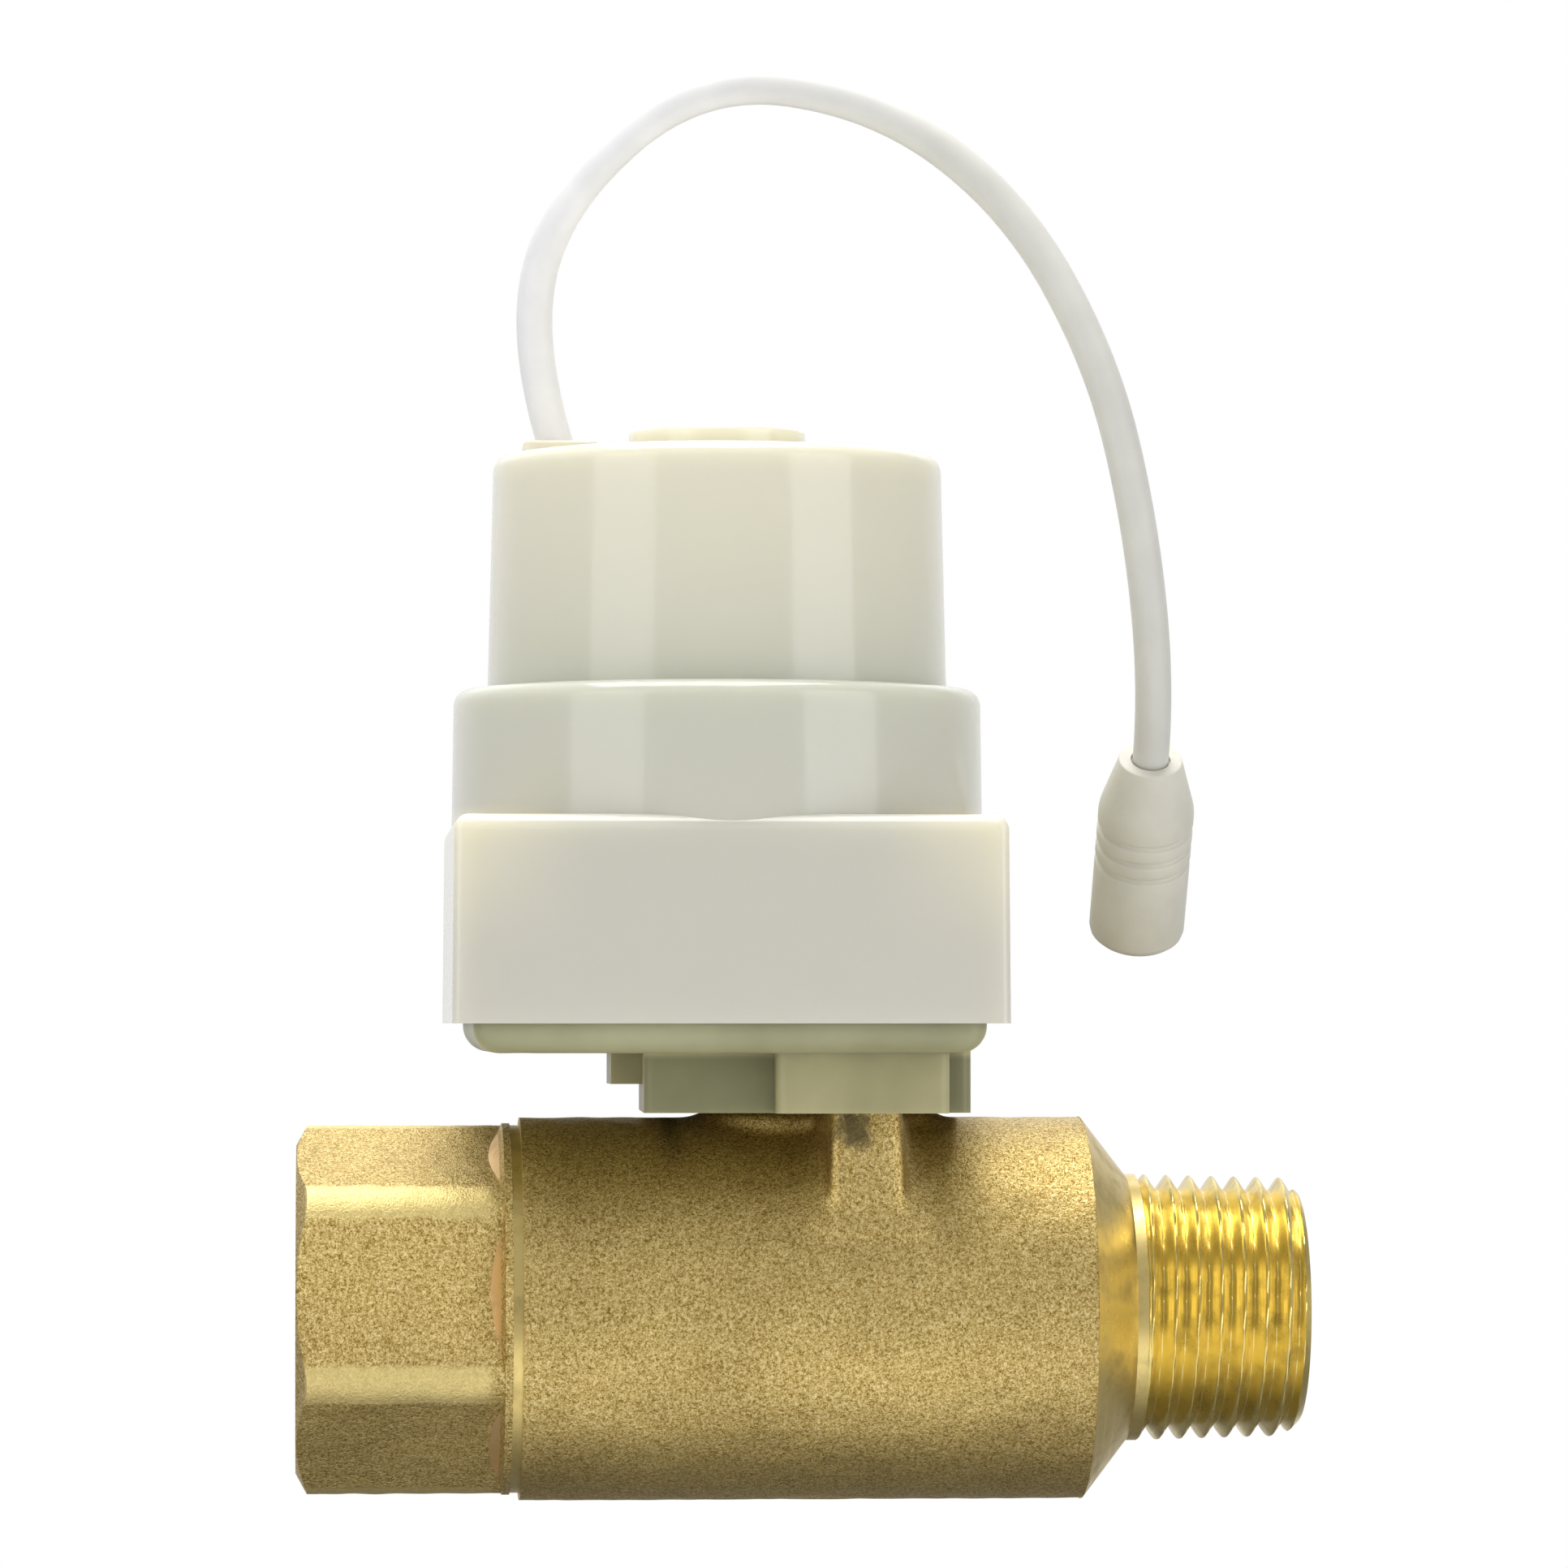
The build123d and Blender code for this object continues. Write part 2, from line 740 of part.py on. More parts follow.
# Cover: square box, middle drum, upper drum and boss, hollow throughout
drum_corners = [
    (0, box_top - drum_root),
    (middle_radius, box_top - drum_root),
    (middle_radius, box_top),
    (middle_top_radius, middle_top),
    (upper_radius, middle_top),
    (upper_top_radius, upper_top),
    (boss_radius, upper_top),
    (boss_radius, boss_top),
    (0, boss_top),
]
roof_inside = box_top - cover_wall
hollow_corners = [
    (0, roof_inside - drum_root),
    (middle_radius - cover_wall, roof_inside - drum_root),
    (middle_radius - cover_wall, roof_inside),
    (middle_top_radius - cover_wall, middle_top - cover_wall),
    (upper_radius - cover_wall, middle_top - cover_wall),
    (upper_top_radius - cover_wall, upper_top - cover_wall),
    (boss_radius - boss_wall, upper_top - cover_wall),
    (boss_radius - boss_wall, boss_top - cover_wall),
    (0, boss_top - cover_wall),
]
with BuildPart() as actuator_cover:
    with BuildSketch(level(cover_bottom)) as box_outline:
        RectangleRounded(cover_side, cover_side, cover_corner_round)
    extrude(amount=cover_box_height, taper=cover_box_draft)
    fillet(actuator_cover.faces().sort_by(Axis.Z)[-1].edges(), step_round)
    revolve(outline(actuator_section, *drum_corners), axis=actuator_axis)
    for rim_level, rim_round in ((middle_top, middle_round), (upper_top, step_round)):
        rims = (
            actuator_cover.edges()
            .filter_by(GeomType.CIRCLE)
            .filter_by_position(Axis.Z, rim_level - level_tolerance, rim_level + level_tolerance)
        )
        fillet(rims.sort_by(SortBy.RADIUS)[-1], rim_round)
    fillet(actuator_cover.faces().sort_by(Axis.Z)[-1].edges(), boss_round)
    with BuildSketch(level(cover_bottom)) as box_hollow:
        RectangleRounded(cover_side - 2 * cover_wall, cover_side - 2 * cover_wall, cover_hollow_round)
    extrude(amount=cover_box_height - cover_wall, taper=cover_box_draft, mode=Mode.SUBTRACT)
    revolve(outline(actuator_section, *hollow_corners), axis=actuator_axis, mode=Mode.SUBTRACT)
    with BuildSketch(level(floor_top)) as posts:
        with Locations(*cover_post_places):
            Circle(cover_post_radius)
    extrude(amount=roof_inside - floor_top + root_overlap)
    with Locations(Plane(level(floor_top).origin, x_dir=(1, 0, 0), z_dir=(0, 0, -1))):
        with Locations(*cover_screw_places):
            Hole(cover_screw_radius, depth=cover_screw_length)
    with BuildSketch(level(upper_top)) as cable_window:
        with Locations(grommet_place):
            Rectangle(grommet_neck_side, grommet_neck_side)
    extrude(amount=-cover_wall, mode=Mode.SUBTRACT)
    with BuildSketch(snap_plane) as snap_recesses:
        with GridLocations(snap_spacing, 0, 2, 1):
            Rectangle(snap_length + 2 * assembly_gap, snap_height + 2 * assembly_gap)
    extrude(amount=snap_reach + assembly_gap, mode=Mode.SUBTRACT)
actuator_cover.part.label = "actuator_cover"
export_step(actuator_cover.part, "parts/actuator_cover.step")

# Cover screws, driven up from below
with BuildPart() as cover_screws:
    head_bottom = base_bottom + screw_head_gap
    with BuildSketch(level(head_bottom)) as cover_heads:
        with Locations(*cover_screw_places):
            Circle(cover_screw_head_radius)
            RegularPolygon(cover_socket_radius, 6, mode=Mode.SUBTRACT)
    extrude(amount=cover_screw_head_height)
    with BuildSketch(level(head_bottom + cover_socket_depth)) as cover_shanks:
        with Locations(*cover_screw_places):
            Circle(cover_screw_radius)
    extrude(amount=cover_screw_length)
cover_screws.part.label = "cover_screws"
export_step(cover_screws.part, "parts/cover_screws.step")

# Screws that hold the base plate on the neck pad
with BuildPart() as mount_screws:
    mount_seat = floor_top - mount_head_height - mount_head_sink
    with BuildSketch(level(mount_seat)) as mount_heads:
        with Locations(*mount_screw_places):
            Circle(mount_head_radius)
    extrude(amount=mount_head_height)
    with BuildSketch(level(mount_seat + mount_head_height)) as mount_sockets:
        with Locations(*mount_screw_places):
            RegularPolygon(mount_socket_radius, 6)
    extrude(amount=-mount_socket_depth, mode=Mode.SUBTRACT)
    with BuildSketch(level(mount_seat)) as mount_shanks:
        with Locations(*mount_screw_places):
            Circle(mount_screw_radius)
    extrude(amount=-(mount_seat - pad_top + mount_thread_depth - screw_end_gap))
mount_screws.part.label = "mount_screws"
export_step(mount_screws.part, "parts/mount_screws.step")

# Output shaft: socket for the stem, seat for the wiper, D-shaped gear seat and top journal
hub_top = floor_top + running_gap + output_hub_height
hub_step_bottom = hub_top - output_hub_step
with BuildPart() as output_shaft:
    with BuildSketch(level(floor_top + running_gap)) as output_hub:
        with Locations((actuator_offset, 0)):
            Circle(output_hub_radius)
    extrude(amount=output_hub_height - output_hub_step)
    with BuildSketch(level(hub_step_bottom)) as wiper_seat:
        with Locations((actuator_offset, 0)):
            Circle(wiper_seat_radius)
    extrude(amount=output_hub_step)
    with BuildSketch(level(hub_top)) as lower_shaft:
        with Locations((actuator_offset, 0)):
            Circle(output_shaft_radius)
    extrude(amount=output_layer - hub_top)
    with BuildSketch(level(output_layer)) as gear_seat:
        with Locations((actuator_offset, 0)):
            Circle(output_shaft_radius)
            with Locations((output_flat + output_shaft_radius, 0)):
                Rectangle(2 * output_shaft_radius, 2 * output_shaft_radius, mode=Mode.SUBTRACT)
    extrude(amount=output_thickness)
    with BuildSketch(level(output_top)) as top_collar:
        with Locations((actuator_offset, 0)):
            Circle(output_collar_radius)
    extrude(amount=upper_plate_bottom - gear_end_play - output_top)
    with BuildSketch(level(output_top)) as journal:
        with Locations((actuator_offset, 0)):
            Circle(output_journal_radius)
    extrude(amount=upper_plate_top - journal_end_gap - output_top)
    with BuildSketch(level(floor_top + running_gap)) as drive_socket:
        with Locations((actuator_offset, 0)):
            Rectangle(drive_square + 2 * running_gap, drive_square + 2 * running_gap)
    extrude(amount=drive_top + drive_socket_gap - floor_top, mode=Mode.SUBTRACT)
output_shaft.part.label = "output_shaft"
export_step(output_shaft.part, "parts/output_shaft.step")

# Flanged bushing in the lower plate
with BuildPart() as output_bushing:
    inner = output_shaft_radius + running_gap
    outer = inner + bushing_wall
    revolve(
        ring_outline(stem_section, inner, outer, lower_plate_bottom, lower_plate_top), axis=stem_axis
    )
    revolve(
        ring_outline(
            stem_section,
            inner,
            outer + bushing_flange,
            lower_plate_bottom - bushing_flange_height,
            lower_plate_bottom,
        ),
        axis=stem_axis,
    )
output_bushing.part.label = "output_bushing"
export_step(output_bushing.part, "parts/output_bushing.step")


# Involute teeth: half the angle that a tooth takes up at a given radius
def half_tooth(teeth, radius):
    pitch_radius = gear_module * teeth / 2
    base_radius = pitch_radius * cos(radians(pressure_angle))

    def involute(at):
        slope = acos(min(1.0, base_radius / at))
        return tan(slope) - slope

    at_pitch = pi / (2 * teeth) - tooth_backlash / (4 * pitch_radius)
    return at_pitch + involute(pitch_radius) - involute(max(radius, base_radius))


def gear_face(plane, centre, teeth, turn):
    """Toothed outline about a centre, with one tooth pointing along the turn angle."""
    pitch_radius = gear_module * teeth / 2
    tip = pitch_radius + tooth_addendum * gear_module
    root = pitch_radius - tooth_dedendum * gear_module
    flank = (root, pitch_radius, tip)
    narrowing = (root_narrowing / root, 0, 0)
    corners = []
    for tooth in range(teeth):
        middle = turn + 2 * pi * tooth / teeth
        halves = [half_tooth(teeth, radius) - less for radius, less in zip(flank, narrowing)]
        rising = [(radius, middle - half) for radius, half in zip(flank, halves)]
        falling = [(radius, middle + half) for radius, half in zip(flank, halves)]
        corners += rising + falling[::-1]
    return outline(
        plane,
        *[
            (centre.X - actuator_x + radius * cos(angle), centre.Y + radius * sin(angle))
            for radius, angle in corners
        ],
    )


def meshing_turn(driver, driver_teeth, driver_turn, follower, follower_teeth):
    """Turn of the follower that puts a gap where the driver has a tooth."""
    line = atan2(follower.Y - driver.Y, follower.X - driver.X)
    return line + pi + pi / follower_teeth - (driver_turn - line) * driver_teeth / follower_teeth


third_turn = meshing_turn(output_centre, output_teeth, 0, third_centre, pinion_teeth)
second_turn = meshing_turn(third_centre, wheel_teeth, third_turn, second_centre, pinion_teeth)
first_turn = meshing_turn(second_centre, wheel_teeth, second_turn, first_centre, pinion_teeth)
rotor_turn = meshing_turn(first_centre, wheel_teeth, first_turn, rotor_centre, pinion_teeth)

# Output gear, with a lightened web and a D-shaped bore
with BuildPart() as output_gear:
    extrude(gear_face(level(output_layer), output_centre, output_teeth, 0), amount=output_thickness)
    with BuildSketch(level(output_top)) as output_web:
        with Locations((actuator_offset, 0)):
            Circle(gear_module * (output_teeth / 2 - tooth_dedendum) - output_rim)
            Circle(output_shaft_radius + output_boss_wall, mode=Mode.SUBTRACT)
    extrude(amount=-output_web_depth, mode=Mode.SUBTRACT)
    with BuildSketch(level(output_layer)) as d_bore:
        with Locations((actuator_offset, 0)):
            Circle(output_shaft_radius)
            with Locations((output_flat + output_shaft_radius, 0)):
                Rectangle(2 * output_shaft_radius, 2 * output_shaft_radius, mode=Mode.SUBTRACT)
    extrude(amount=output_thickness, mode=Mode.SUBTRACT)
output_gear.part.label = "output_gear"
export_step(output_gear.part, "parts/output_gear.step")

# Three cluster gears: a wheel, the pinion under it and a hub that keeps them between the plates
cluster_gears = [
    ("first_gear", first_centre, first_turn, rotor_layer, first_layer),
    ("second_gear", second_centre, second_turn, first_layer, second_layer),
    ("third_gear", third_centre, third_turn, second_layer, output_layer),
]
for name, centre, turn, wheel_bottom, pinion_bottom in cluster_gears:
    with BuildPart() as cluster_gear:
        extrude(gear_face(level(wheel_bottom), centre, wheel_teeth, turn), amount=wheel_thickness)
        extrude(
            gear_face(level(pinion_bottom), centre, pinion_teeth, turn),
            amount=wheel_bottom - pinion_bottom,
        )
        with Locations((centre.X, centre.Y, lower_plate_top + gear_end_play)):
            Cylinder(
                gear_hub_radius,
                upper_plate_bottom - lower_plate_top - 2 * gear_end_play,
                align=(Align.CENTER, Align.CENTER, Align.MIN),
            )
            Cylinder(
                gear_pin_radius + running_gap,
                upper_plate_bottom - lower_plate_top,
                align=(Align.CENTER, Align.CENTER, Align.MIN),
                mode=Mode.SUBTRACT,
            )
    cluster_gear.part.label = name
    export_step(cluster_gear.part, f"parts/{name}.step")

# Fixed pins that the cluster gears turn on
with BuildPart() as gear_pins:
    with BuildSketch(level(lower_plate_bottom)):
        with Locations(*gear_pin_places):
            Circle(gear_pin_radius)
    extrude(amount=upper_plate_top - lower_plate_bottom)
gear_pins.part.label = "gear_pins"
export_step(gear_pins.part, "parts/gear_pins.step")

# Shouldered pillars, staked into both plates
with BuildPart() as plate_pillars:
    with BuildSketch(level(lower_plate_top)):
        with Locations(*pillar_places):
            Circle(pillar_radius)
    extrude(amount=upper_plate_bottom - lower_plate_top)
    with BuildSketch(level(lower_plate_bottom)):
        with Locations(*pillar_places):
            Circle(pillar_tenon_radius)
    extrude(amount=upper_plate_top - lower_plate_bottom)
plate_pillars.part.label = "plate_pillars"
export_step(plate_pillars.part, "parts/plate_pillars.step")

# Lower gear plate
with BuildPart() as gear_plate_lower:
    with BuildSketch(level(lower_plate_bottom)) as lower_outline:
        Circle(lower_plate_radius)
        with Locations(*gear_pin_places):
            Circle(gear_pin_radius, mode=Mode.SUBTRACT)
        with Locations(*pillar_places):
            Circle(pillar_tenon_radius, mode=Mode.SUBTRACT)
        with Locations(*frame_screw_places):
            Circle(frame_screw_radius + running_gap, mode=Mode.SUBTRACT)
        with Locations((actuator_offset, 0)):
            Circle(output_shaft_radius + running_gap + bushing_wall, mode=Mode.SUBTRACT)
        with Locations((-lower_plate_radius, wire_places[1][1])):
            Rectangle(
                2 * (lower_plate_radius - wire_circle + wire_slot_margin),
                wire_slot_width,
                mode=Mode.SUBTRACT,
            )
        with Locations(on_circle(lower_plate_radius, lead_bearing)):
            Circle(lower_plate_radius - lead_circle + lead_slot_margin, mode=Mode.SUBTRACT)
    extrude(amount=lower_plate_thickness)
gear_plate_lower.part.label = "gear_plate_lower"
export_step(gear_plate_lower.part, "parts/gear_plate_lower.step")

# Upper gear plate, which also closes the motor and holds its lower bearing
with BuildPart() as gear_plate_upper:
    with BuildSketch(level(upper_plate_bottom)) as upper_outline:
        Circle(upper_plate_radius)
        Circle(bearing_radius, mode=Mode.SUBTRACT)
        with Locations(*gear_pin_places):
            Circle(gear_pin_radius, mode=Mode.SUBTRACT)
        with Locations(*pillar_places):
            Circle(pillar_tenon_radius, mode=Mode.SUBTRACT)
        with Locations((actuator_offset, 0)):
            Circle(output_journal_radius + running_gap, mode=Mode.SUBTRACT)
        with PolarLocations(
            motor_radius - motor_wall / 2, motor_tab_count, start_angle=motor_tab_turn
        ):
            Rectangle(motor_wall, motor_tab_width, mode=Mode.SUBTRACT)
        with Locations((-upper_plate_radius, wire_places[1][1])):
            Rectangle(
                2 * (upper_plate_radius - wire_circle + wire_slot_margin),
                wire_slot_width,
                mode=Mode.SUBTRACT,
            )
        with Locations(*lead_places):
            Circle(lead_radius + assembly_gap, mode=Mode.SUBTRACT)
    extrude(amount=upper_plate_thickness)
gear_plate_upper.part.label = "gear_plate_upper"
export_step(gear_plate_upper.part, "parts/gear_plate_upper.step")

# Position board on its standoffs, spacers above it and the screws through all of them
with BuildPart() as position_board:
    with BuildSketch(level(board_bottom)) as board_outline:
        Rectangle(board_side, board_side)
        chamfer(board_outline.vertices(), board_corner_cut)
        with Locations((actuator_offset, 0)):
            Circle(board_hole_radius, mode=Mode.SUBTRACT)
        with Locations(*frame_screw_places):
            Circle(frame_screw_radius + running_gap, mode=Mode.SUBTRACT)
    extrude(amount=board_thickness)
position_board.part.label = "position_board"
export_step(position_board.part, "parts/position_board.step")

with BuildPart() as board_spacers:
    with BuildSketch(level(board_top)):
        with Locations(*frame_screw_places):
            Circle(spacer_radius)
            Circle(frame_screw_radius + running_gap, mode=Mode.SUBTRACT)
    extrude(amount=lower_plate_bottom - board_top)
board_spacers.part.label = "board_spacers"
export_step(board_spacers.part, "parts/board_spacers.step")

with BuildPart() as frame_screws:
    with BuildSketch(level(lower_plate_top)) as frame_heads:
        with Locations(*frame_screw_places):
            Circle(frame_screw_head_radius)
            Rectangle(frame_slot_length, frame_slot_width, mode=Mode.SUBTRACT)
    extrude(amount=frame_screw_head_height)
    frame_slot_floor = lower_plate_top + frame_screw_head_height - frame_slot_depth
    with BuildSketch(level(frame_slot_floor)) as frame_shanks:
        with Locations(*frame_screw_places):
            Circle(frame_screw_radius)
    extrude(amount=-(frame_slot_floor - floor_top - frame_screw_tip_gap))
frame_screws.part.label = "frame_screws"
export_step(frame_screws.part, "parts/frame_screws.step")

# Terminal header on the board, under the lead wires
header_x, header_y = wire_places[1]
with BuildPart() as terminal_header:
    with BuildSketch(level(board_top)) as header_outline:
        with Locations((header_x, header_y)):
            Rectangle(header_length, header_width)
    extrude(amount=header_height)
    fillet(terminal_header.edges().filter_by(Axis.Z), header_corner_round)
    with BuildSketch(level(board_top + header_height)) as header_holes:
        with Locations(*wire_places):
            Circle(wire_radius)
    extrude(amount=-header_height / 2, mode=Mode.SUBTRACT)
terminal_header.part.label = "terminal_header"
export_step(terminal_header.part, "parts/terminal_header.step")

# Contact wiper: a ring on the hub with three sprung fingers that reach down to the board
with BuildPart() as contact_wiper:
    with BuildSketch(level(hub_step_bottom)) as wiper_ring:
        with Locations((actuator_offset, 0)):
            Circle(wiper_radius)
            Circle(wiper_seat_radius, mode=Mode.SUBTRACT)
    extrude(amount=wiper_thickness)
    finger_tip = board_top + wiper_gap
    finger = outline(
        stem_section,
        (wiper_radius - finger_root, hub_step_bottom),
        (wiper_radius, hub_step_bottom),
        (wiper_reach, finger_tip + wiper_thickness),
        (wiper_reach, finger_tip),
        (wiper_reach - finger_foot, finger_tip),
        (wiper_radius - finger_drop, hub_step_bottom - finger_drop),
    )
    extrude(finger, amount=wiper_width / 2, both=True)
    for step in range(1, finger_count):
        turned_finger = finger.rotate(stem_axis, 360 * step / finger_count)
        extrude(turned_finger, amount=wiper_width / 2, both=True)
contact_wiper.part.label = "contact_wiper"
export_step(contact_wiper.part, "parts/contact_wiper.step")

# Motor can: a drawn cup with a bearing hub on its roof and tabs through the upper plate
roof_bottom = motor_top - motor_roof
with BuildPart() as motor_can:
    with BuildSketch(actuator_section) as can_profile:
        with BuildLine():
            Polyline(
                (motor_radius - motor_wall, upper_plate_top),
                (motor_radius, upper_plate_top),
                (motor_radius, motor_top),
                (motor_hub_radius, motor_top),
                (motor_hub_radius, motor_top + motor_hub_height),
                (motor_hole_radius, motor_top + motor_hub_height),
                (motor_hole_radius, motor_top + motor_hub_height - motor_hub_roof),
                (bearing_radius, motor_top + motor_hub_height - motor_hub_roof),
                (bearing_radius, roof_bottom),
                (motor_radius - motor_wall, roof_bottom),
                close=True,
            )
        make_face()
    revolve(axis=actuator_axis)
    fillet(
        motor_can.edges()
        .filter_by(GeomType.CIRCLE)
        .filter_by_position(Axis.Z, motor_top - level_tolerance, motor_top + level_tolerance)
        .sort_by(SortBy.RADIUS)[-1],
        motor_round,
    )
    with BuildSketch(level(upper_plate_bottom)) as can_tabs:
        with PolarLocations(
            motor_radius - motor_wall / 2, motor_tab_count, start_angle=motor_tab_turn
        ):
            Rectangle(motor_wall - motor_tab_gap, motor_tab_width - motor_tab_gap)
    extrude(amount=upper_plate_thickness + root_overlap)
    with BuildSketch(level(upper_plate_top)) as lead_notch:
        with Locations(Location((0, 0), lead_bearing)):
            with Locations((motor_radius, 0)):
                Rectangle(lead_notch_depth, lead_block_width)
    extrude(amount=lead_block_height, mode=Mode.SUBTRACT)
motor_can.part.label = "motor_can"
export_step(motor_can.part, "parts/motor_can.step")

# Two coils on their bobbins, between pole plates whose claws reach along the rotor
motor_floor = upper_plate_top + stack_gap
stack_height = roof_bottom - motor_floor
bobbin_height = (stack_height - 3 * pole_plate_thickness) / 2
pole_levels = [
    motor_floor,
    motor_floor + pole_plate_thickness + bobbin_height,
    motor_floor + 2 * (pole_plate_thickness + bobbin_height),
]
claw_height = bobbin_height - claw_end_gap
claw_sides = [(1,), (-1, 1), (-1,)]
pole_names = ["lower_pole_plate", "centre_pole_plate", "upper_pole_plate"]
for name, pole_level, sides in zip(pole_names, pole_levels, claw_sides):
    with BuildPart() as pole_plate:
        with BuildSketch(level(pole_level)) as pole_disc:
            Circle(motor_radius - motor_wall - running_gap)
            Circle(claw_inner_radius, mode=Mode.SUBTRACT)
            if sides == (1,):
                with Locations(Location((0, 0), lead_bearing)):
                    with Locations((motor_radius, 0)):
                        Rectangle(lead_notch_depth, lead_block_width, mode=Mode.SUBTRACT)
        extrude(amount=pole_plate_thickness)
        for side in sides:
            claw_start = pole_level + (pole_plate_thickness if side > 0 else 0)
            with BuildSketch(level(claw_start)) as claws:
                with PolarLocations(claw_outer_radius, claw_count, start_angle=90 * side / claw_count):
                    Rectangle(claw_blank, claw_width)
                Circle(claw_outer_radius, mode=Mode.INTERSECT)
                Circle(claw_inner_radius, mode=Mode.SUBTRACT)
            extrude(amount=side * claw_height)
    pole_plate.part.label = name
    export_step(pole_plate.part, f"parts/{name}.step")

for name, bobbin_level in (
    ("lower", pole_levels[0] + pole_plate_thickness),
    ("upper", pole_levels[1] + pole_plate_thickness),
):
    bobbin_inner = claw_outer_radius + running_gap
    with BuildPart() as bobbin:
        with BuildSketch(actuator_section) as bobbin_profile:
            with BuildLine():
                Polyline(
                    (bobbin_inner, bobbin_level),
                    (bobbin_outer_radius, bobbin_level),
                    (bobbin_outer_radius, bobbin_level + bobbin_flange),
                    (bobbin_sleeve_radius, bobbin_level + bobbin_flange),
                    (bobbin_sleeve_radius, bobbin_level + bobbin_height - bobbin_flange),
                    (bobbin_outer_radius, bobbin_level + bobbin_height - bobbin_flange),
                    (bobbin_outer_radius, bobbin_level + bobbin_height),
                    (bobbin_inner, bobbin_level + bobbin_height),
                    close=True,
                )
            make_face()
        revolve(axis=actuator_axis)
    bobbin.part.label = f"{name}_bobbin"
    export_step(bobbin.part, f"parts/{name}_bobbin.step")
    with BuildPart() as coil:
        revolve(
            ring_outline(
                actuator_section,
                bobbin_sleeve_radius,
                coil_radius,
                bobbin_level + bobbin_flange,
                bobbin_level + bobbin_height - bobbin_flange,
            ),
            axis=actuator_axis,
        )
    coil.part.label = f"{name}_coil"
    export_step(coil.part, f"parts/{name}_coil.step")

# Rotor: magnet, shaft with its pinion, and a sintered bearing at each end
upper_bearing_bottom = motor_top + motor_hub_height - motor_hub_roof - bearing_height
bearing_levels = {"lower_bearing": upper_plate_bottom, "upper_bearing": upper_bearing_bottom}
for name, bearing_level in bearing_levels.items():
    with BuildPart() as bearing:
        revolve(
            ring_outline(
                actuator_section,
                rotor_shaft_radius + running_gap,
                bearing_radius,
                bearing_level,
                bearing_level + bearing_height,
            ),
            axis=actuator_axis,
        )
    bearing.part.label = name
    export_step(bearing.part, f"parts/{name}.step")

with BuildPart() as rotor_shaft:
    with BuildSketch(level(rotor_layer)) as rotor_round:
        Circle(rotor_shaft_radius)
    extrude(amount=motor_top + motor_hub_height - rotor_shaft_end_gap - rotor_layer)
    chamfer(rotor_shaft.faces().sort_by(Axis.Z)[-1].edges(), rotor_shaft_chamfer)
rotor_shaft.part.label = "rotor_shaft"
export_step(rotor_shaft.part, "parts/rotor_shaft.step")

with BuildPart() as motor_pinion:
    extrude(
        gear_face(level(rotor_layer), rotor_centre, pinion_teeth, rotor_turn), amount=pinion_thickness
    )
    with BuildSketch(level(rotor_layer + pinion_thickness)) as pinion_collar:
        Circle(pinion_collar_radius)
    extrude(amount=upper_plate_bottom - rotor_layer - pinion_thickness - gear_end_play)
    with BuildSketch(level(rotor_layer)) as pinion_bore:
        Circle(rotor_shaft_radius)
    extrude(amount=upper_plate_bottom - rotor_layer, mode=Mode.SUBTRACT)
motor_pinion.part.label = "motor_pinion"
export_step(motor_pinion.part, "parts/motor_pinion.step")

magnet_bottom = upper_plate_bottom + bearing_height + gear_end_play
magnet_top = upper_bearing_bottom - gear_end_play
with BuildPart() as rotor_magnet:
    with BuildSketch(level(magnet_bottom + magnet_end_gap)) as magnet_round:
        Circle(magnet_radius)
    extrude(amount=magnet_top - magnet_bottom - 2 * magnet_end_gap)
    with BuildSketch(level(magnet_bottom)) as magnet_hub:
        Circle(rotor_shaft_radius + magnet_hub_wall)
    extrude(amount=magnet_top - magnet_bottom)
    with BuildSketch(level(magnet_bottom)) as magnet_bore:
        Circle(rotor_shaft_radius)
    extrude(amount=magnet_top - magnet_bottom, mode=Mode.SUBTRACT)
rotor_magnet.part.label = "rotor_magnet"
export_step(rotor_magnet.part, "parts/rotor_magnet.step")

# Lead block on the motor's side and its four leads down to the board
with BuildPart() as motor_lead_block:
    with BuildSketch(level(upper_plate_top)) as block_outline:
        with Locations(Location((0, 0), lead_bearing)):
            with Locations((motor_radius + (lead_block_reach - motor_wall) / 2, 0)):
                Rectangle(
                    lead_block_reach + motor_wall - lead_block_gap, lead_block_width - lead_block_gap
                )
    extrude(amount=lead_block_height - lead_block_gap)
    with BuildSketch(level(upper_plate_top)) as lead_holes:
        with Locations(*lead_places):
            Circle(lead_radius)
    extrude(amount=lead_block_height / 2, mode=Mode.SUBTRACT)
motor_lead_block.part.label = "motor_lead_block"
export_step(motor_lead_block.part, "parts/motor_lead_block.step")

with BuildPart() as motor_leads:
    with BuildSketch(level(board_top)):
        with Locations(*lead_places):
            Circle(lead_radius)
    extrude(amount=upper_plate_top + lead_block_height / 2 - board_top)
motor_leads.part.label = "motor_leads"
export_step(motor_leads.part, "parts/motor_leads.step")

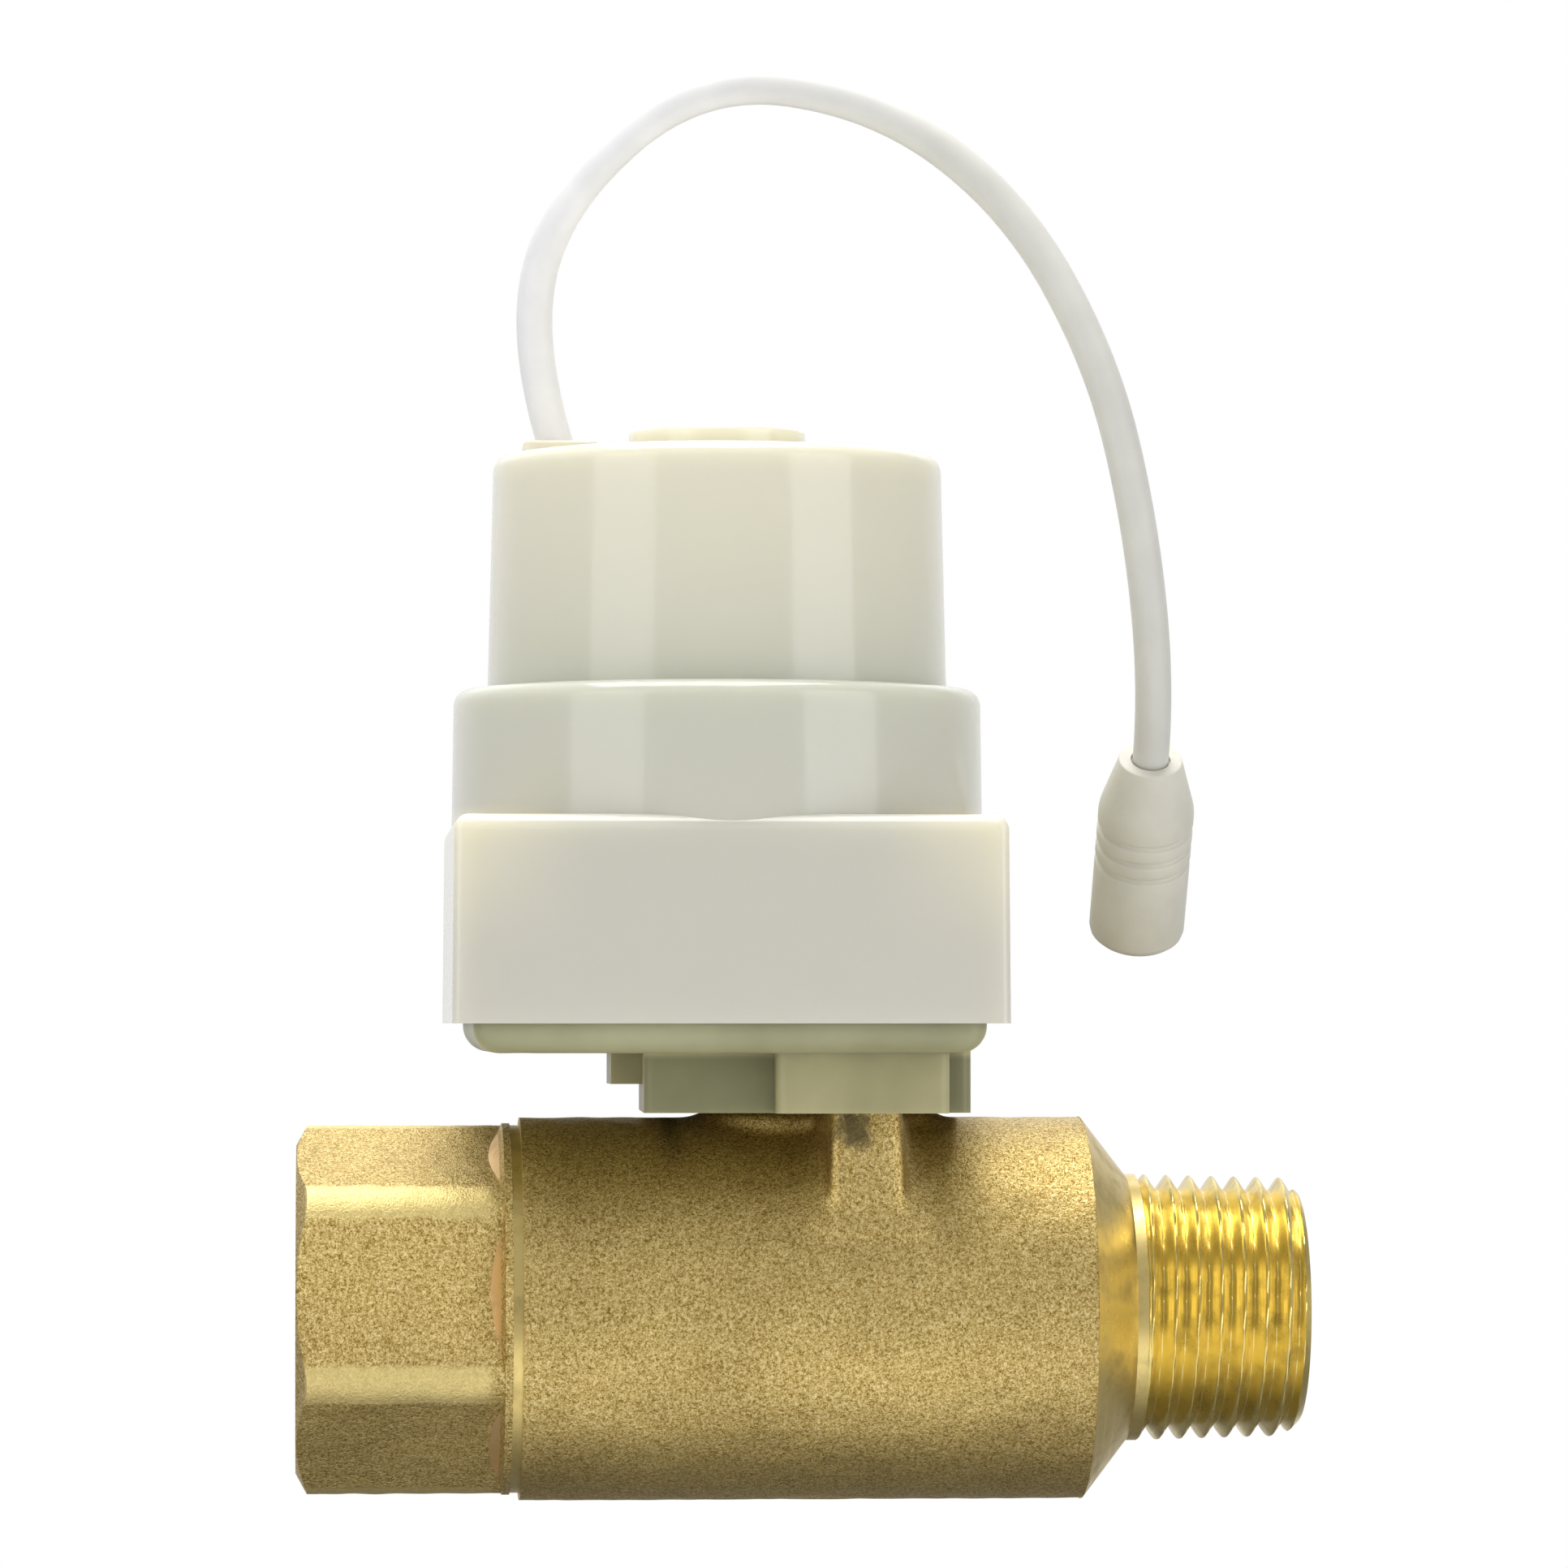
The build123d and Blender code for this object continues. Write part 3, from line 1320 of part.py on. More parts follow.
# Cable grommet: tapered top, square neck through the cover and a flange below
with BuildPart() as cable_grommet:
    with BuildSketch(level(upper_top)) as grommet_top:
        with Locations(grommet_place):
            RectangleRounded(grommet_side, grommet_side, grommet_corner_round)
    with BuildSketch(level(upper_top + grommet_rise)) as grommet_crown:
        with Locations(grommet_place):
            crown_side = grommet_side - 2 * grommet_taper
            RectangleRounded(crown_side, crown_side, grommet_corner_round - grommet_taper)
    loft()
    with BuildSketch(level(upper_top)) as grommet_neck:
        with Locations(grommet_place):
            Rectangle(grommet_neck_side, grommet_neck_side)
    extrude(amount=-cover_wall)
    with BuildSketch(level(upper_top - cover_wall)) as grommet_flange:
        with Locations(grommet_place):
            RectangleRounded(grommet_side, grommet_side, grommet_corner_round)
    extrude(amount=-grommet_below)
    with Locations(level(upper_top + grommet_rise)):
        with Locations(grommet_place):
            Hole(cable_radius, depth=grommet_hole_depth)
cable_grommet.part.label = "cable_grommet"
export_step(cable_grommet.part, "parts/cable_grommet.step")

# Three cores of the cable, from the grommet down to the header
with BuildPart() as lead_wires:
    with BuildSketch(level(board_top + header_height / 2)):
        with Locations(*wire_places):
            Circle(wire_radius)
    extrude(amount=upper_top - cover_wall - grommet_below - board_top - header_height / 2)
lead_wires.part.label = "lead_wires"
export_step(lead_wires.part, "parts/lead_wires.step")


def bend_radii(points):
    """Largest arc at each corner of the route that leaves its share of the shorter run beside it."""
    radii = []
    for before, corner, after in zip(points, points[1:], points[2:]):
        run_in = Vector(*corner) - Vector(*before)
        run_out = Vector(*after) - Vector(*corner)
        half_turn = radians(run_in.get_angle(run_out)) / 2
        radii.append(cable_arc_share * min(run_in.length, run_out.length) / tan(half_turn))
    return radii


# Cable: one arch from the grommet to the socket
cable_radii = bend_radii(cable_points)
with BuildPart() as cable:
    with BuildLine() as cable_route:
        FilletPolyline(*cable_points, radius=cable_radii)
    with BuildSketch(cable_route.line ^ 0):
        Circle(cable_radius)
    sweep()
cable.part.label = "cable"
export_step(cable.part, "parts/cable.step")
cable_length = cable_route.wire().length
print("cable bend radii", [round(radius, 1) for radius in cable_radii])
print("cable length", round(cable_length, 2))
print("cable volume over section times length", cable.part.volume / (pi * cable_radius**2 * cable_length))

# Socket: tapered neck, three grip grooves and a round bore for a 3.5 mm plug
socket_away = Vector(*cable_points[-1]) - Vector(*cable_points[-2])
socket_plane = Plane(cable_points[-1], x_dir=(1, 0, 0), z_dir=socket_away.normalized())
socket_axis = Axis(socket_plane.origin, socket_plane.z_dir)
bore_start = socket_length - socket_bore_depth
with BuildPart() as connector_shell:
    with BuildSketch(socket_plane) as neck_end:
        Circle(socket_neck_radius)
    with BuildSketch(socket_plane.offset(socket_cone_length)) as cone_end:
        Circle(socket_radius)
    loft()
    with BuildSketch(socket_plane.offset(socket_cone_length)) as barrel_end:
        Circle(socket_radius)
    extrude(amount=socket_length - socket_cone_length)
    fillet(connector_shell.edges().sort_by(socket_axis)[-1], socket_end_round)
    for step in range(socket_groove_count):
        groove_level = socket_groove_start + step * socket_groove_pitch
        with BuildSketch(socket_plane.offset(groove_level)) as grip_groove:
            Circle(2 * socket_radius)
            Circle(socket_radius - socket_groove_depth, mode=Mode.SUBTRACT)
        extrude(amount=socket_groove_width, mode=Mode.SUBTRACT)
    with BuildSketch(socket_plane.offset(bore_start)) as socket_bore:
        Circle(socket_bore_radius)
    extrude(amount=socket_bore_depth, mode=Mode.SUBTRACT)
    for step in range(contact_ring_count):
        ring_level = bore_start + contact_ring_start + step * contact_ring_pitch
        with BuildSketch(socket_plane.offset(ring_level)) as ring_groove:
            Circle(contact_ring_radius)
        extrude(amount=contact_ring_width, mode=Mode.SUBTRACT)
connector_shell.part.label = "connector_shell"
export_step(connector_shell.part, "parts/connector_shell.step")

with BuildPart() as connector_contacts:
    for step in range(contact_ring_count):
        ring_level = bore_start + contact_ring_start + step * contact_ring_pitch
        with BuildSketch(socket_plane.offset(ring_level)) as contact_ring:
            Circle(contact_ring_radius)
            Circle(socket_bore_radius, mode=Mode.SUBTRACT)
        extrude(amount=contact_ring_width)
connector_contacts.part.label = "connector_contacts"
export_step(connector_contacts.part, "parts/connector_contacts.step")
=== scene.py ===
import math
import bmesh
import bpy
from mathutils import Euler, Matrix, Vector, noise


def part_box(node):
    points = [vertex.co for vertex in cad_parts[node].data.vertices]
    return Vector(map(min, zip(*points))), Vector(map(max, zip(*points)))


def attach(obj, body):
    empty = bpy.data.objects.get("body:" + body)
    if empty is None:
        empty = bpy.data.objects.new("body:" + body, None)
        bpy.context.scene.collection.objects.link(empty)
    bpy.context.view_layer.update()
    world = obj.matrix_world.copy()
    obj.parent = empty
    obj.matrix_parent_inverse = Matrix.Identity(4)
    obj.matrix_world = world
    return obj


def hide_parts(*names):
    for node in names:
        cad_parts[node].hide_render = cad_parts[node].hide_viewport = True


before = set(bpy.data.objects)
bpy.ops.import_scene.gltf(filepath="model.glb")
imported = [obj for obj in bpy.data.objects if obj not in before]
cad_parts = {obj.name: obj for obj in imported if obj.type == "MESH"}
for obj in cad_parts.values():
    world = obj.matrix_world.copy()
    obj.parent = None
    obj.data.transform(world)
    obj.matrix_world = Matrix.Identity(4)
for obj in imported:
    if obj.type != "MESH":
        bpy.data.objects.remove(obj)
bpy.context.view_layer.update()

# Shut-off valve of a leak alarm kit: brass ball valve, milky plastic actuator and a short cable.
# Lengths are written in millimetres and made metres when a piece is finished.
mm = 0.001
scene = bpy.context.scene


# camera at the photograph's angle, a long lens half a metre away

photo = {
    "side": 1932,  # pixels
    "focal": 8488.0,  # pixels
    "eye": (2.0, -550.0, 22.8),
    "pitch": 1.98,
    "yaw": -3.836,
    "sensor": 36.0,
}

cameraData = bpy.data.cameras.new("camera")
cameraData.sensor_width = photo["sensor"]
cameraData.lens = photo["focal"] / photo["side"] * photo["sensor"]
cameraData.clip_start = 0.02
cameraData.clip_end = 20.0
camera = bpy.data.objects.new("camera", cameraData)
camera.location = Vector(photo["eye"]) * mm
camera.rotation_euler = Euler((math.radians(90 + photo["pitch"]), 0, math.radians(photo["yaw"])))
scene.collection.objects.link(camera)
scene.camera = camera
print("camera placed")


# material tools

def paint(code):  # linear colour of a web code
    parts = [int(code[i:i + 2], 16) / 255 for i in (1, 3, 5)]
    return tuple(p / 12.92 if p <= 0.04045 else ((p + 0.055) / 1.055) ** 2.4 for p in parts)


def twoTones(code, share):  # a colour, and the same one darker
    bright = paint(code)
    return bright, tuple(c * share for c in bright)


def newMaterial(name, **values):
    material = bpy.data.materials.new(name)
    material.use_nodes = True
    shader = material.node_tree.nodes["Principled BSDF"]
    for socket, value in values.items():
        shader.inputs[socket.replace("_", " ")].default_value = value
    return material, material.node_tree, shader


def objectPoint(tree, scale=(1, 1, 1), centre=(0, 0, 0)):
    coords = tree.nodes.new("ShaderNodeTexCoord")
    mapping = tree.nodes.new("ShaderNodeMapping")
    mapping.inputs["Scale"].default_value = scale
    mapping.inputs["Location"].default_value = [-c * mm for c in centre]
    tree.links.new(coords.outputs["Object"], mapping.inputs["Vector"])
    return mapping.outputs["Vector"]


def placeAlong(tree, axis):
    coords = tree.nodes.new("ShaderNodeTexCoord")
    parts = tree.nodes.new("ShaderNodeSeparateXYZ")
    tree.links.new(coords.outputs["Object"], parts.inputs["Vector"])
    return parts.outputs[axis]


def lengthOf(tree, point):
    length = tree.nodes.new("ShaderNodeVectorMath")
    length.operation = "LENGTH"
    tree.links.new(point, length.inputs[0])
    return length.outputs["Value"]


def grain(tree, vector, scale, detail=2.0, roughness=0.5):
    field = tree.nodes.new("ShaderNodeTexNoise")
    field.inputs["Scale"].default_value = scale
    field.inputs["Detail"].default_value = detail
    field.inputs["Roughness"].default_value = roughness
    tree.links.new(vector, field.inputs["Vector"])
    return field.outputs["Fac"]


def ramp(tree, value, stops):
    node = tree.nodes.new("ShaderNodeValToRGB")
    elements = node.color_ramp.elements
    while len(elements) < len(stops):
        elements.new(0.5)
    for element, (place, colour) in zip(elements, stops):
        element.position = place
        element.color = (*colour, 1)
    tree.links.new(value, node.inputs["Fac"])
    return node.outputs["Color"]


def fit(tree, value, span, low, high, unit=1):  # a soft step from low to high over the span
    node = tree.nodes.new("ShaderNodeMapRange")
    node.interpolation_type = "SMOOTHSTEP"
    node.inputs["From Min"].default_value = span[0] * unit
    node.inputs["From Max"].default_value = span[1] * unit
    node.inputs["To Min"].default_value = low
    node.inputs["To Max"].default_value = high
    tree.links.new(value, node.inputs["Value"])
    return node.outputs["Result"]


def feed(tree, socket, value):  # a number or a colour is set, a node's output is linked
    if isinstance(value, (int, float)):
        socket.default_value = value
    elif isinstance(value, tuple):
        socket.default_value = (*value, 1)
    else:
        tree.links.new(value, socket)


def maths(tree, operation, *values):
    node = tree.nodes.new("ShaderNodeMath")
    node.operation = operation
    for socket, value in zip(node.inputs, values):
        feed(tree, socket, value)
    return node.outputs["Value"]


def times(tree, first, second):
    return maths(tree, "MULTIPLY", first, second)


def mixColour(tree, share, first, second, blend="MIX"):
    node = tree.nodes.new("ShaderNodeMix")
    node.data_type = "RGBA"
    node.blend_type = blend
    for index, value in ((0, share), (6, first), (7, second)):
        feed(tree, node.inputs[index], value)
    return node.outputs[2]


def addBump(tree, shader, height, strength, distance, under=None):
    bump = tree.nodes.new("ShaderNodeBump")
    bump.inputs["Strength"].default_value = strength
    bump.inputs["Distance"].default_value = distance * mm
    tree.links.new(height, bump.inputs["Height"])
    if under is not None:
        tree.links.new(under, bump.inputs["Normal"])
    tree.links.new(bump.outputs["Normal"], shader.inputs["Normal"])
    return bump.outputs["Normal"]


# cable: one arch from the grommet to the socket

cable = {
    "points": [
        (20.6, 1.0, 69.0),
        (18.0, 0.2, 77.4),
        (20.5, -2.3, 88.3),
        (31.8, -4.2, 98.1),
        (45.8, -6.6, 96.0),
        (56.6, -7.7, 87.8),
        (63.3, -9.8, 75.3),
        (66.6, -7.8, 62.9),
        (68.4, -4.3, 49.7),
        (68.4, 0.0, 43.9),
    ],
    "diameter": 2.9,
    "length": 109.1,
    "colour": "#F4F4F5",
    "socketEnd": "#DAD9D2",
    "fade": (20.0, 56.0),
}


def cableJacket():
    material, tree, shader = newMaterial(
        "cableJacket", Roughness=0.42, IOR=1.48, Subsurface_Weight=0.15,
        Subsurface_Radius=(1.0, 1.0, 1.0), Subsurface_Scale=1.0 * mm)
    vector = objectPoint(tree)
    along = fit(tree, placeAlong(tree, "X"), cable["fade"], 0.0, 1.0, mm)
    colour = ramp(tree, along, [(0.0, paint(cable["colour"])), (1.0, paint(cable["socketEnd"]))])
    cloud = ramp(tree, grain(tree, vector, 260, 3), [(0.35, (0.94, 0.94, 0.94)), (0.65, (1, 1, 1))])
    colour = mixColour(tree, 1.0, colour, cloud, "MULTIPLY")
    tree.links.new(colour, shader.inputs["Base Color"])
    addBump(tree, shader, grain(tree, vector, 5200), 0.12, 0.08)
    return material


def makeCable():
    curve = bpy.data.curves.new("cable_jacket", "CURVE")
    curve.dimensions = "3D"
    spline = curve.splines.new("NURBS")
    spline.points.add(len(cable["points"]) - 1)
    for point, place in zip(spline.points, cable["points"]):
        point.co = (*(Vector(place) * mm), 1)
    spline.order_u = 3
    spline.use_endpoint_u = True
    spline.resolution_u = 24
    curve.bevel_depth = cable["diameter"] / 2 * mm
    curve.bevel_resolution = 10
    curve.use_fill_caps = True
    curve.materials.append(cableJacket())
    piece = bpy.data.objects.new("cable_jacket", curve)
    scene.collection.objects.link(piece)
    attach(piece, "root")
    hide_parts("cable")
    return piece


cablePiece = makeCable()
print("cable laid")


# mesh tools

mergeReach = 0.0005  # points nearer than this become one
flatArea = 30.0  # larger faces are shaded flat, in square millimetres
past = 1.0  # how far a cutting tool reaches past the surface that it opens
loopReach = 0.0001  # how far from its height a loop's points may be
leastRound = 0.12
castWaves = 0.55  # how closely the swells of a cast skin follow each other


def nodeBox(name):
    low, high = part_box(name)
    return low / mm, high / mm


def cleanMesh(bm):
    bmesh.ops.remove_doubles(bm, verts=bm.verts, dist=mergeReach)
    bmesh.ops.recalc_face_normals(bm, faces=bm.faces)


def smoothFaces(bm, sharpAngle):
    for face in bm.faces:
        face.smooth = face.calc_area() < flatArea
    for edge in bm.edges:
        if len(edge.link_faces) == 2:
            edge.smooth = edge.calc_face_angle(0) < math.radians(sharpAngle)


def finishPiece(name, bm, materials, replaced, sharpAngle=35):
    cleanMesh(bm)
    smoothFaces(bm, sharpAngle)
    bmesh.ops.scale(bm, vec=(mm, mm, mm), verts=bm.verts)
    mesh = bpy.data.meshes.new(name)
    bm.to_mesh(mesh)
    bm.free()
    for material in materials:
        mesh.materials.append(material)
    piece = bpy.data.objects.new(name, mesh)
    scene.collection.objects.link(piece)
    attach(piece, "root")
    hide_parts(replaced)
    return piece


def addCylinder(bm, radius, depth, matrix, segments):
    bmesh.ops.create_cone(
        bm, cap_ends=True, segments=segments, radius1=radius, radius2=radius,
        depth=depth, matrix=matrix)


def roundCorners(bm, corners, radius, segments):
    bmesh.ops.bevel(
        bm, geom=corners, offset=radius, segments=segments, profile=0.5, affect="VERTICES",
        offset_type="OFFSET", material=-1, clamp_overlap=False)


def roundEdges(bm, edges, radius, segments=5):
    bmesh.ops.bevel(
        bm, geom=edges, offset=radius, segments=segments, profile=0.5, affect="EDGES",
        offset_type="OFFSET", material=-1, clamp_overlap=True)


def closedLoop(bm, places):
    verts = [bm.verts.new(place) for place in places]
    for first, second in zip(verts, verts[1:] + verts[:1]):
        bm.edges.new((first, second))
    return verts


def spinOutline(corners, axis, centre, steps, rounds, roundSegments):
    bm = bmesh.new()
    verts = closedLoop(bm, corners)
    for index, radius in (rounds or {}).items():
        roundCorners(bm, [verts[index]], radius, roundSegments)
    bmesh.ops.spin(
        bm, geom=bm.verts[:] + bm.edges[:], cent=centre, axis=axis, angle=math.tau,
        steps=steps, use_merge=True, dvec=(0, 0, 0))
    cleanMesh(bm)
    return bm


def turnLying(points, steps, rounds=None, roundSegments=6):  # (place along the flow, radius)
    outline = [(x, 0, radius) for x, radius in points]
    return spinOutline(outline, (1, 0, 0), (0, 0, 0), steps, rounds, roundSegments)


def turnUpright(x, y, points, steps, rounds=None, roundSegments=6):  # (radius, height)
    outline = [(x + radius, y, z) for radius, z in points]
    return spinOutline(outline, (0, 0, 1), (x, y, 0), steps, rounds, roundSegments)


def asObject(bm):
    mesh = bpy.data.meshes.new("blank")
    bm.to_mesh(mesh)
    bm.free()
    obj = bpy.data.objects.new("blank", mesh)
    scene.collection.objects.link(obj)
    return obj


def takeMesh(obj):
    bpy.context.view_layer.update()
    graph = bpy.context.evaluated_depsgraph_get()
    bm = bmesh.new()
    bm.from_mesh(bpy.data.meshes.new_from_object(obj.evaluated_get(graph)))
    bpy.data.objects.remove(obj)
    return bm


def combine(base, others, operation):
    obj = asObject(base)
    tools = [asObject(other) for other in others]
    for tool in tools:
        cut = obj.modifiers.new("cut", "BOOLEAN")
        cut.object = tool
        cut.operation = operation
        cut.solver = "EXACT"
    result = takeMesh(obj)
    for tool in tools:
        bpy.data.objects.remove(tool)
    return result


def boxBetween(low, high):  # two corners
    bm = bmesh.new()
    bmesh.ops.create_cube(bm, size=1)
    low, high = Vector(low), Vector(high)
    bmesh.ops.scale(bm, vec=high - low, verts=bm.verts)
    bmesh.ops.translate(bm, vec=(low + high) / 2, verts=bm.verts)
    return bm


def edgesAlong(bm, axis):
    found = []
    for edge in bm.edges:
        run = edge.verts[1].co - edge.verts[0].co
        if abs(run[axis]) > 0.98 * run.length:  # nearly parallel to the axis
            found.append(edge)
    return found


def edgesAtHeight(bm, z):
    return [e for e in bm.edges if all(abs(v.co.z - z) < loopReach for v in e.verts)]


def stackedBox(centre, levels, segments=6):  # levels are (height, sides, corner radius) from below
    bm = bmesh.new()
    for z, (length, width), radius in levels:
        corners = closedLoop(bm, [
            (centre[0] + x * length / 2, centre[1] + y * width / 2, z)
            for x, y in ((-1, -1), (1, -1), (1, 1), (-1, 1))])
        roundCorners(bm, corners, radius, segments)
    heights = [level[0] for level in levels]
    for low, high in zip(heights, heights[1:]):
        bmesh.ops.bridge_loops(bm, edges=edgesAtHeight(bm, low) + edgesAtHeight(bm, high))
    for height in (heights[0], heights[-1]):
        bmesh.ops.edgeloop_fill(bm, edges=edgesAtHeight(bm, height))
    bmesh.ops.recalc_face_normals(bm, faces=bm.faces)
    return bm


def rolledTop(top, sides, cornerRound, edgeRound, steps=8):  # the levels of a rounded top edge
    made = []
    for step in range(steps + 1):
        angle = math.pi / 2 * step / steps
        inset = edgeRound * (1 - math.cos(angle))
        height = top - edgeRound * (1 - math.sin(angle))
        shape = (sides[0] - 2 * inset, sides[1] - 2 * inset)
        made.append((height, shape, max(cornerRound - inset, leastRound)))
    return made


def castSkin(bm, voxel, steps, rough):  # rounds every corner as casting does
    obj = asObject(bm)
    remesh = obj.modifiers.new("remesh", "REMESH")
    remesh.mode = "VOXEL"
    remesh.voxel_size = voxel
    bm = takeMesh(obj)
    for step in range(steps):
        bmesh.ops.smooth_vert(
            bm, verts=bm.verts, factor=0.5, use_axis_x=True, use_axis_y=True, use_axis_z=True)
    bm.normal_update()
    for vert in bm.verts:
        vert.co += vert.normal * rough * noise.noise(vert.co * castWaves)
    return bm


def cutBehind(bm, place, away):
    cut = bmesh.ops.bisect_plane(
        bm, geom=bm.verts[:] + bm.edges[:] + bm.faces[:], plane_co=place, plane_no=away,
        clear_outer=True)
    rim = [item for item in cut["geom_cut"] if isinstance(item, bmesh.types.BMEdge)]
    bmesh.ops.edgenet_fill(bm, edges=rim)


def threadShare(turns, flat):  # 1 at a crest and 0 at a root, with nearly straight flanks
    climb = 1 - 2 * abs(turns % 1 - 0.5)
    straight = min(1.0, max(0.0, (climb - flat) / (1 - 2 * flat)))
    return 0.8 * straight + 0.2 * straight * straight * (3 - 2 * straight)


def fromFlow(place):  # distance from the flow's axis
    return math.hypot(place.y, place.z)


def moveToRadius(vert, wanted):
    share = wanted / fromFlow(vert.co)
    vert.co.y *= share
    vert.co.z *= share


# brass finishes

brass = {
    "castLight": "#F0DCA0",
    "castMiddle": "#C5A962",
    "castDark": "#826935",
    "turned": "#E1CA84",
    "thread": "#E8D283",
    "fresh": "#F0CC94",
    # colour of the dark patch at the rib's top: partly a stain, partly painted shade
    "stain": "#5B5238",
    # colour of the painted highlight along the hexagon's edges
    "paintedEdgeHighlight": "#ECD894",
    "fineScale": 7800,
    "coarseScale": 3510,
    "patchScale": 95,
    "barrelGrain": 0.10,
    "capGrain": 0.20,
}


def castBrass(name, grainDepth, stain=None, paintedEdgeHighlight=None):
    material, tree, shader = newMaterial(name, Metallic=1.0)
    vector = objectPoint(tree)
    fine = grain(tree, vector, brass["fineScale"], 2, 0.65)
    coarse = grain(tree, vector, brass["coarseScale"])
    patch = grain(tree, vector, brass["patchScale"], 3, 0.55)
    mixed = maths(tree, "ADD", times(tree, fine, 0.62), times(tree, coarse, 0.38))
    colour = ramp(tree, mixed, [
        (0.36, paint(brass["castDark"])), (0.48, paint(brass["castMiddle"])),
        (0.62, paint(brass["castLight"]))])
    cloud = ramp(tree, patch, [(0.3, (0.82, 0.81, 0.80)), (0.7, (1, 1, 1))])
    colour = mixColour(tree, 1.0, colour, cloud, "MULTIPLY")
    # a dark patch round a given centre: partly a real stain, partly painted shade
    if stain:
        wobble = times(tree, grain(tree, vector, 700, 3), stain["wobble"] * mm)
        reach = lengthOf(tree, objectPoint(tree, centre=stain["centre"]))
        mask = fit(tree, maths(tree, "ADD", reach, wobble), stain["edge"], stain["share"], 0.0, mm)
        colour = mixColour(tree, mask, colour, paint(brass["stain"]))
    if paintedEdgeHighlight:  # painted highlight: edges far from the flow's axis are painted pale, standing in for the glint along the hexagon's rounded edges
        radius = lengthOf(tree, objectPoint(tree, scale=(0, 1, 1)))
        highlightBand = fit(tree, radius, paintedEdgeHighlight["radii"], 0.0, paintedEdgeHighlight["share"], mm)
        mask = times(tree, highlightBand, fit(tree, placeAlong(tree, "X"), paintedEdgeHighlight["fade"], 1.0, 0.0, mm))
        mixed = times(tree, mixed, fit(tree, mask, (0.0, 1.0), 1.0, 0.5))
        colour = mixColour(tree, mask, colour, paint(brass["paintedEdgeHighlight"]))
    tree.links.new(colour, shader.inputs["Base Color"])
    tree.links.new(fit(tree, fine, (0.3, 0.7), 0.50, 0.34), shader.inputs["Roughness"])
    slow = addBump(tree, shader, patch, 0.3, 1.0)
    addBump(tree, shader, mixed, 0.9, grainDepth, slow)
    return material


def turnedBrass(name, code, roughness, ringScale):
    material, tree, shader = newMaterial(name, Metallic=1.0)
    lathe = grain(tree, objectPoint(tree, scale=(ringScale, 60, 60)), 1.0, 1, 0.4)
    stain = grain(tree, objectPoint(tree), 420, 4, 0.6)
    bright, dull = twoTones(code, 0.72)
    gloss = fit(tree, stain, (0.3, 0.7), roughness + 0.12, roughness)
    tree.links.new(ramp(tree, stain, [(0.30, dull), (0.52, bright)]), shader.inputs["Base Color"])
    tree.links.new(gloss, shader.inputs["Roughness"])
    addBump(tree, shader, lathe, 0.25, 0.06)
    return material


turnedFace = turnedBrass("turnedBrass", brass["turned"], 0.26, 3400)
threadFace = turnedBrass("threadBrass", brass["thread"], 0.17, 5200)
freshFace = turnedBrass("freshBrass", brass["fresh"], 0.38, 2600)


# valve casting: barrel, pad and neck under the actuator, and the two ribs

bodyLow, bodyHigh = nodeBox("valve_body")
stemLow, stemHigh = nodeBox("stem")
stemX = (stemLow.x + stemHigh.x) / 2

casting = {
    "start": bodyLow.x,
    "end": 62.5,
    "spare": 3.0,  # barrel that is cut off again
    "radius": 15.22,
    "padLength": 19.3,
    "padWidth": 12.5,
    "padTop": 15.7,
    "neckRadius": 5.2,
    "neckFoot": 10.0,
    "ribX": stemX + 3.0,
    "ribWidth": 5.2,
    "ribBackWidth": 8.303333,
    "ribFront": 13.3,
    "ribFootFront": 14.0,
    "ribFootWidth": 6.2,
    "ribDepth": 2.2,
    "ribTop": 18.4,
    "ribFoot": 4.0,
    "betweenWidth": 14.0,
    "betweenTop": 23.4,
    "flareWidth": 8.6,
    "flareRadius": 15.6,
    "flareFoot": 6.4,
    "screwSpread": 7.4,
    "screwRadius": 1.25,
    "screwDepth": 2.8,
    "portRadius": 7.0,
    "chamber": [(34.5, 13.0), (34.5, 12.0), (50.1, 12.0), (50.1, 11.0), (53.1, 11.0), (53.1, 7.0)],
    "spigotBore": 13.0,
    "stemHole": [(0, 0), (5.55, 0), (5.55, 13.9), (4.05, 13.9), (4.05, 30), (0, 30)],
    # brown stain at the rib's top under the skirt, made darker for the shade there: partly real
    # stain, partly painted shade
    "stain": {"centre": (43.4, -13.3, 14.3), "edge": (1.8, 3.0), "wobble": 2.2, "share": 0.9},
    "voxel": 0.3,
    "steps": 18,
    "rough": 0.05,
}


def padBlanks():  # a long pad with round ends, of a box and two cylinders
    c = casting
    half = (c["padLength"] - c["padWidth"]) / 2
    width = c["padWidth"] / 2
    blanks = [boxBetween((stemX - half, -width, 0), (stemX + half, width, c["padTop"]))]
    for side in (-1, 1):
        end = bmesh.new()
        middle = Matrix.Translation((stemX + side * half, 0, c["padTop"] / 2))
        addCylinder(end, width, c["padTop"], middle, 48)
        blanks.append(end)
    return blanks


def ribBlank(side):  # a little wider and prouder towards the foot and the barrel
    c = casting
    half = c["ribWidth"] / 2
    bm = boxBetween(
        (c["ribX"] - half, 0, c["ribFoot"]), (c["ribX"] + half, c["ribFront"], c["ribTop"]))
    for vert in bm.verts:
        outwards = math.copysign(0.5, vert.co.x - c["ribX"])
        if vert.co.z < c["ribFoot"] + past:
            vert.co.x += outwards * (c["ribFootWidth"] - c["ribWidth"])
            vert.co.y *= c["ribFootFront"] / c["ribFront"]
        if vert.co.y < past:
            vert.co.x += outwards * (c["ribBackWidth"] - c["ribWidth"])
    bmesh.ops.scale(bm, vec=(1, side, 1), verts=bm.verts)
    bmesh.ops.recalc_face_normals(bm, faces=bm.faces)
    return bm


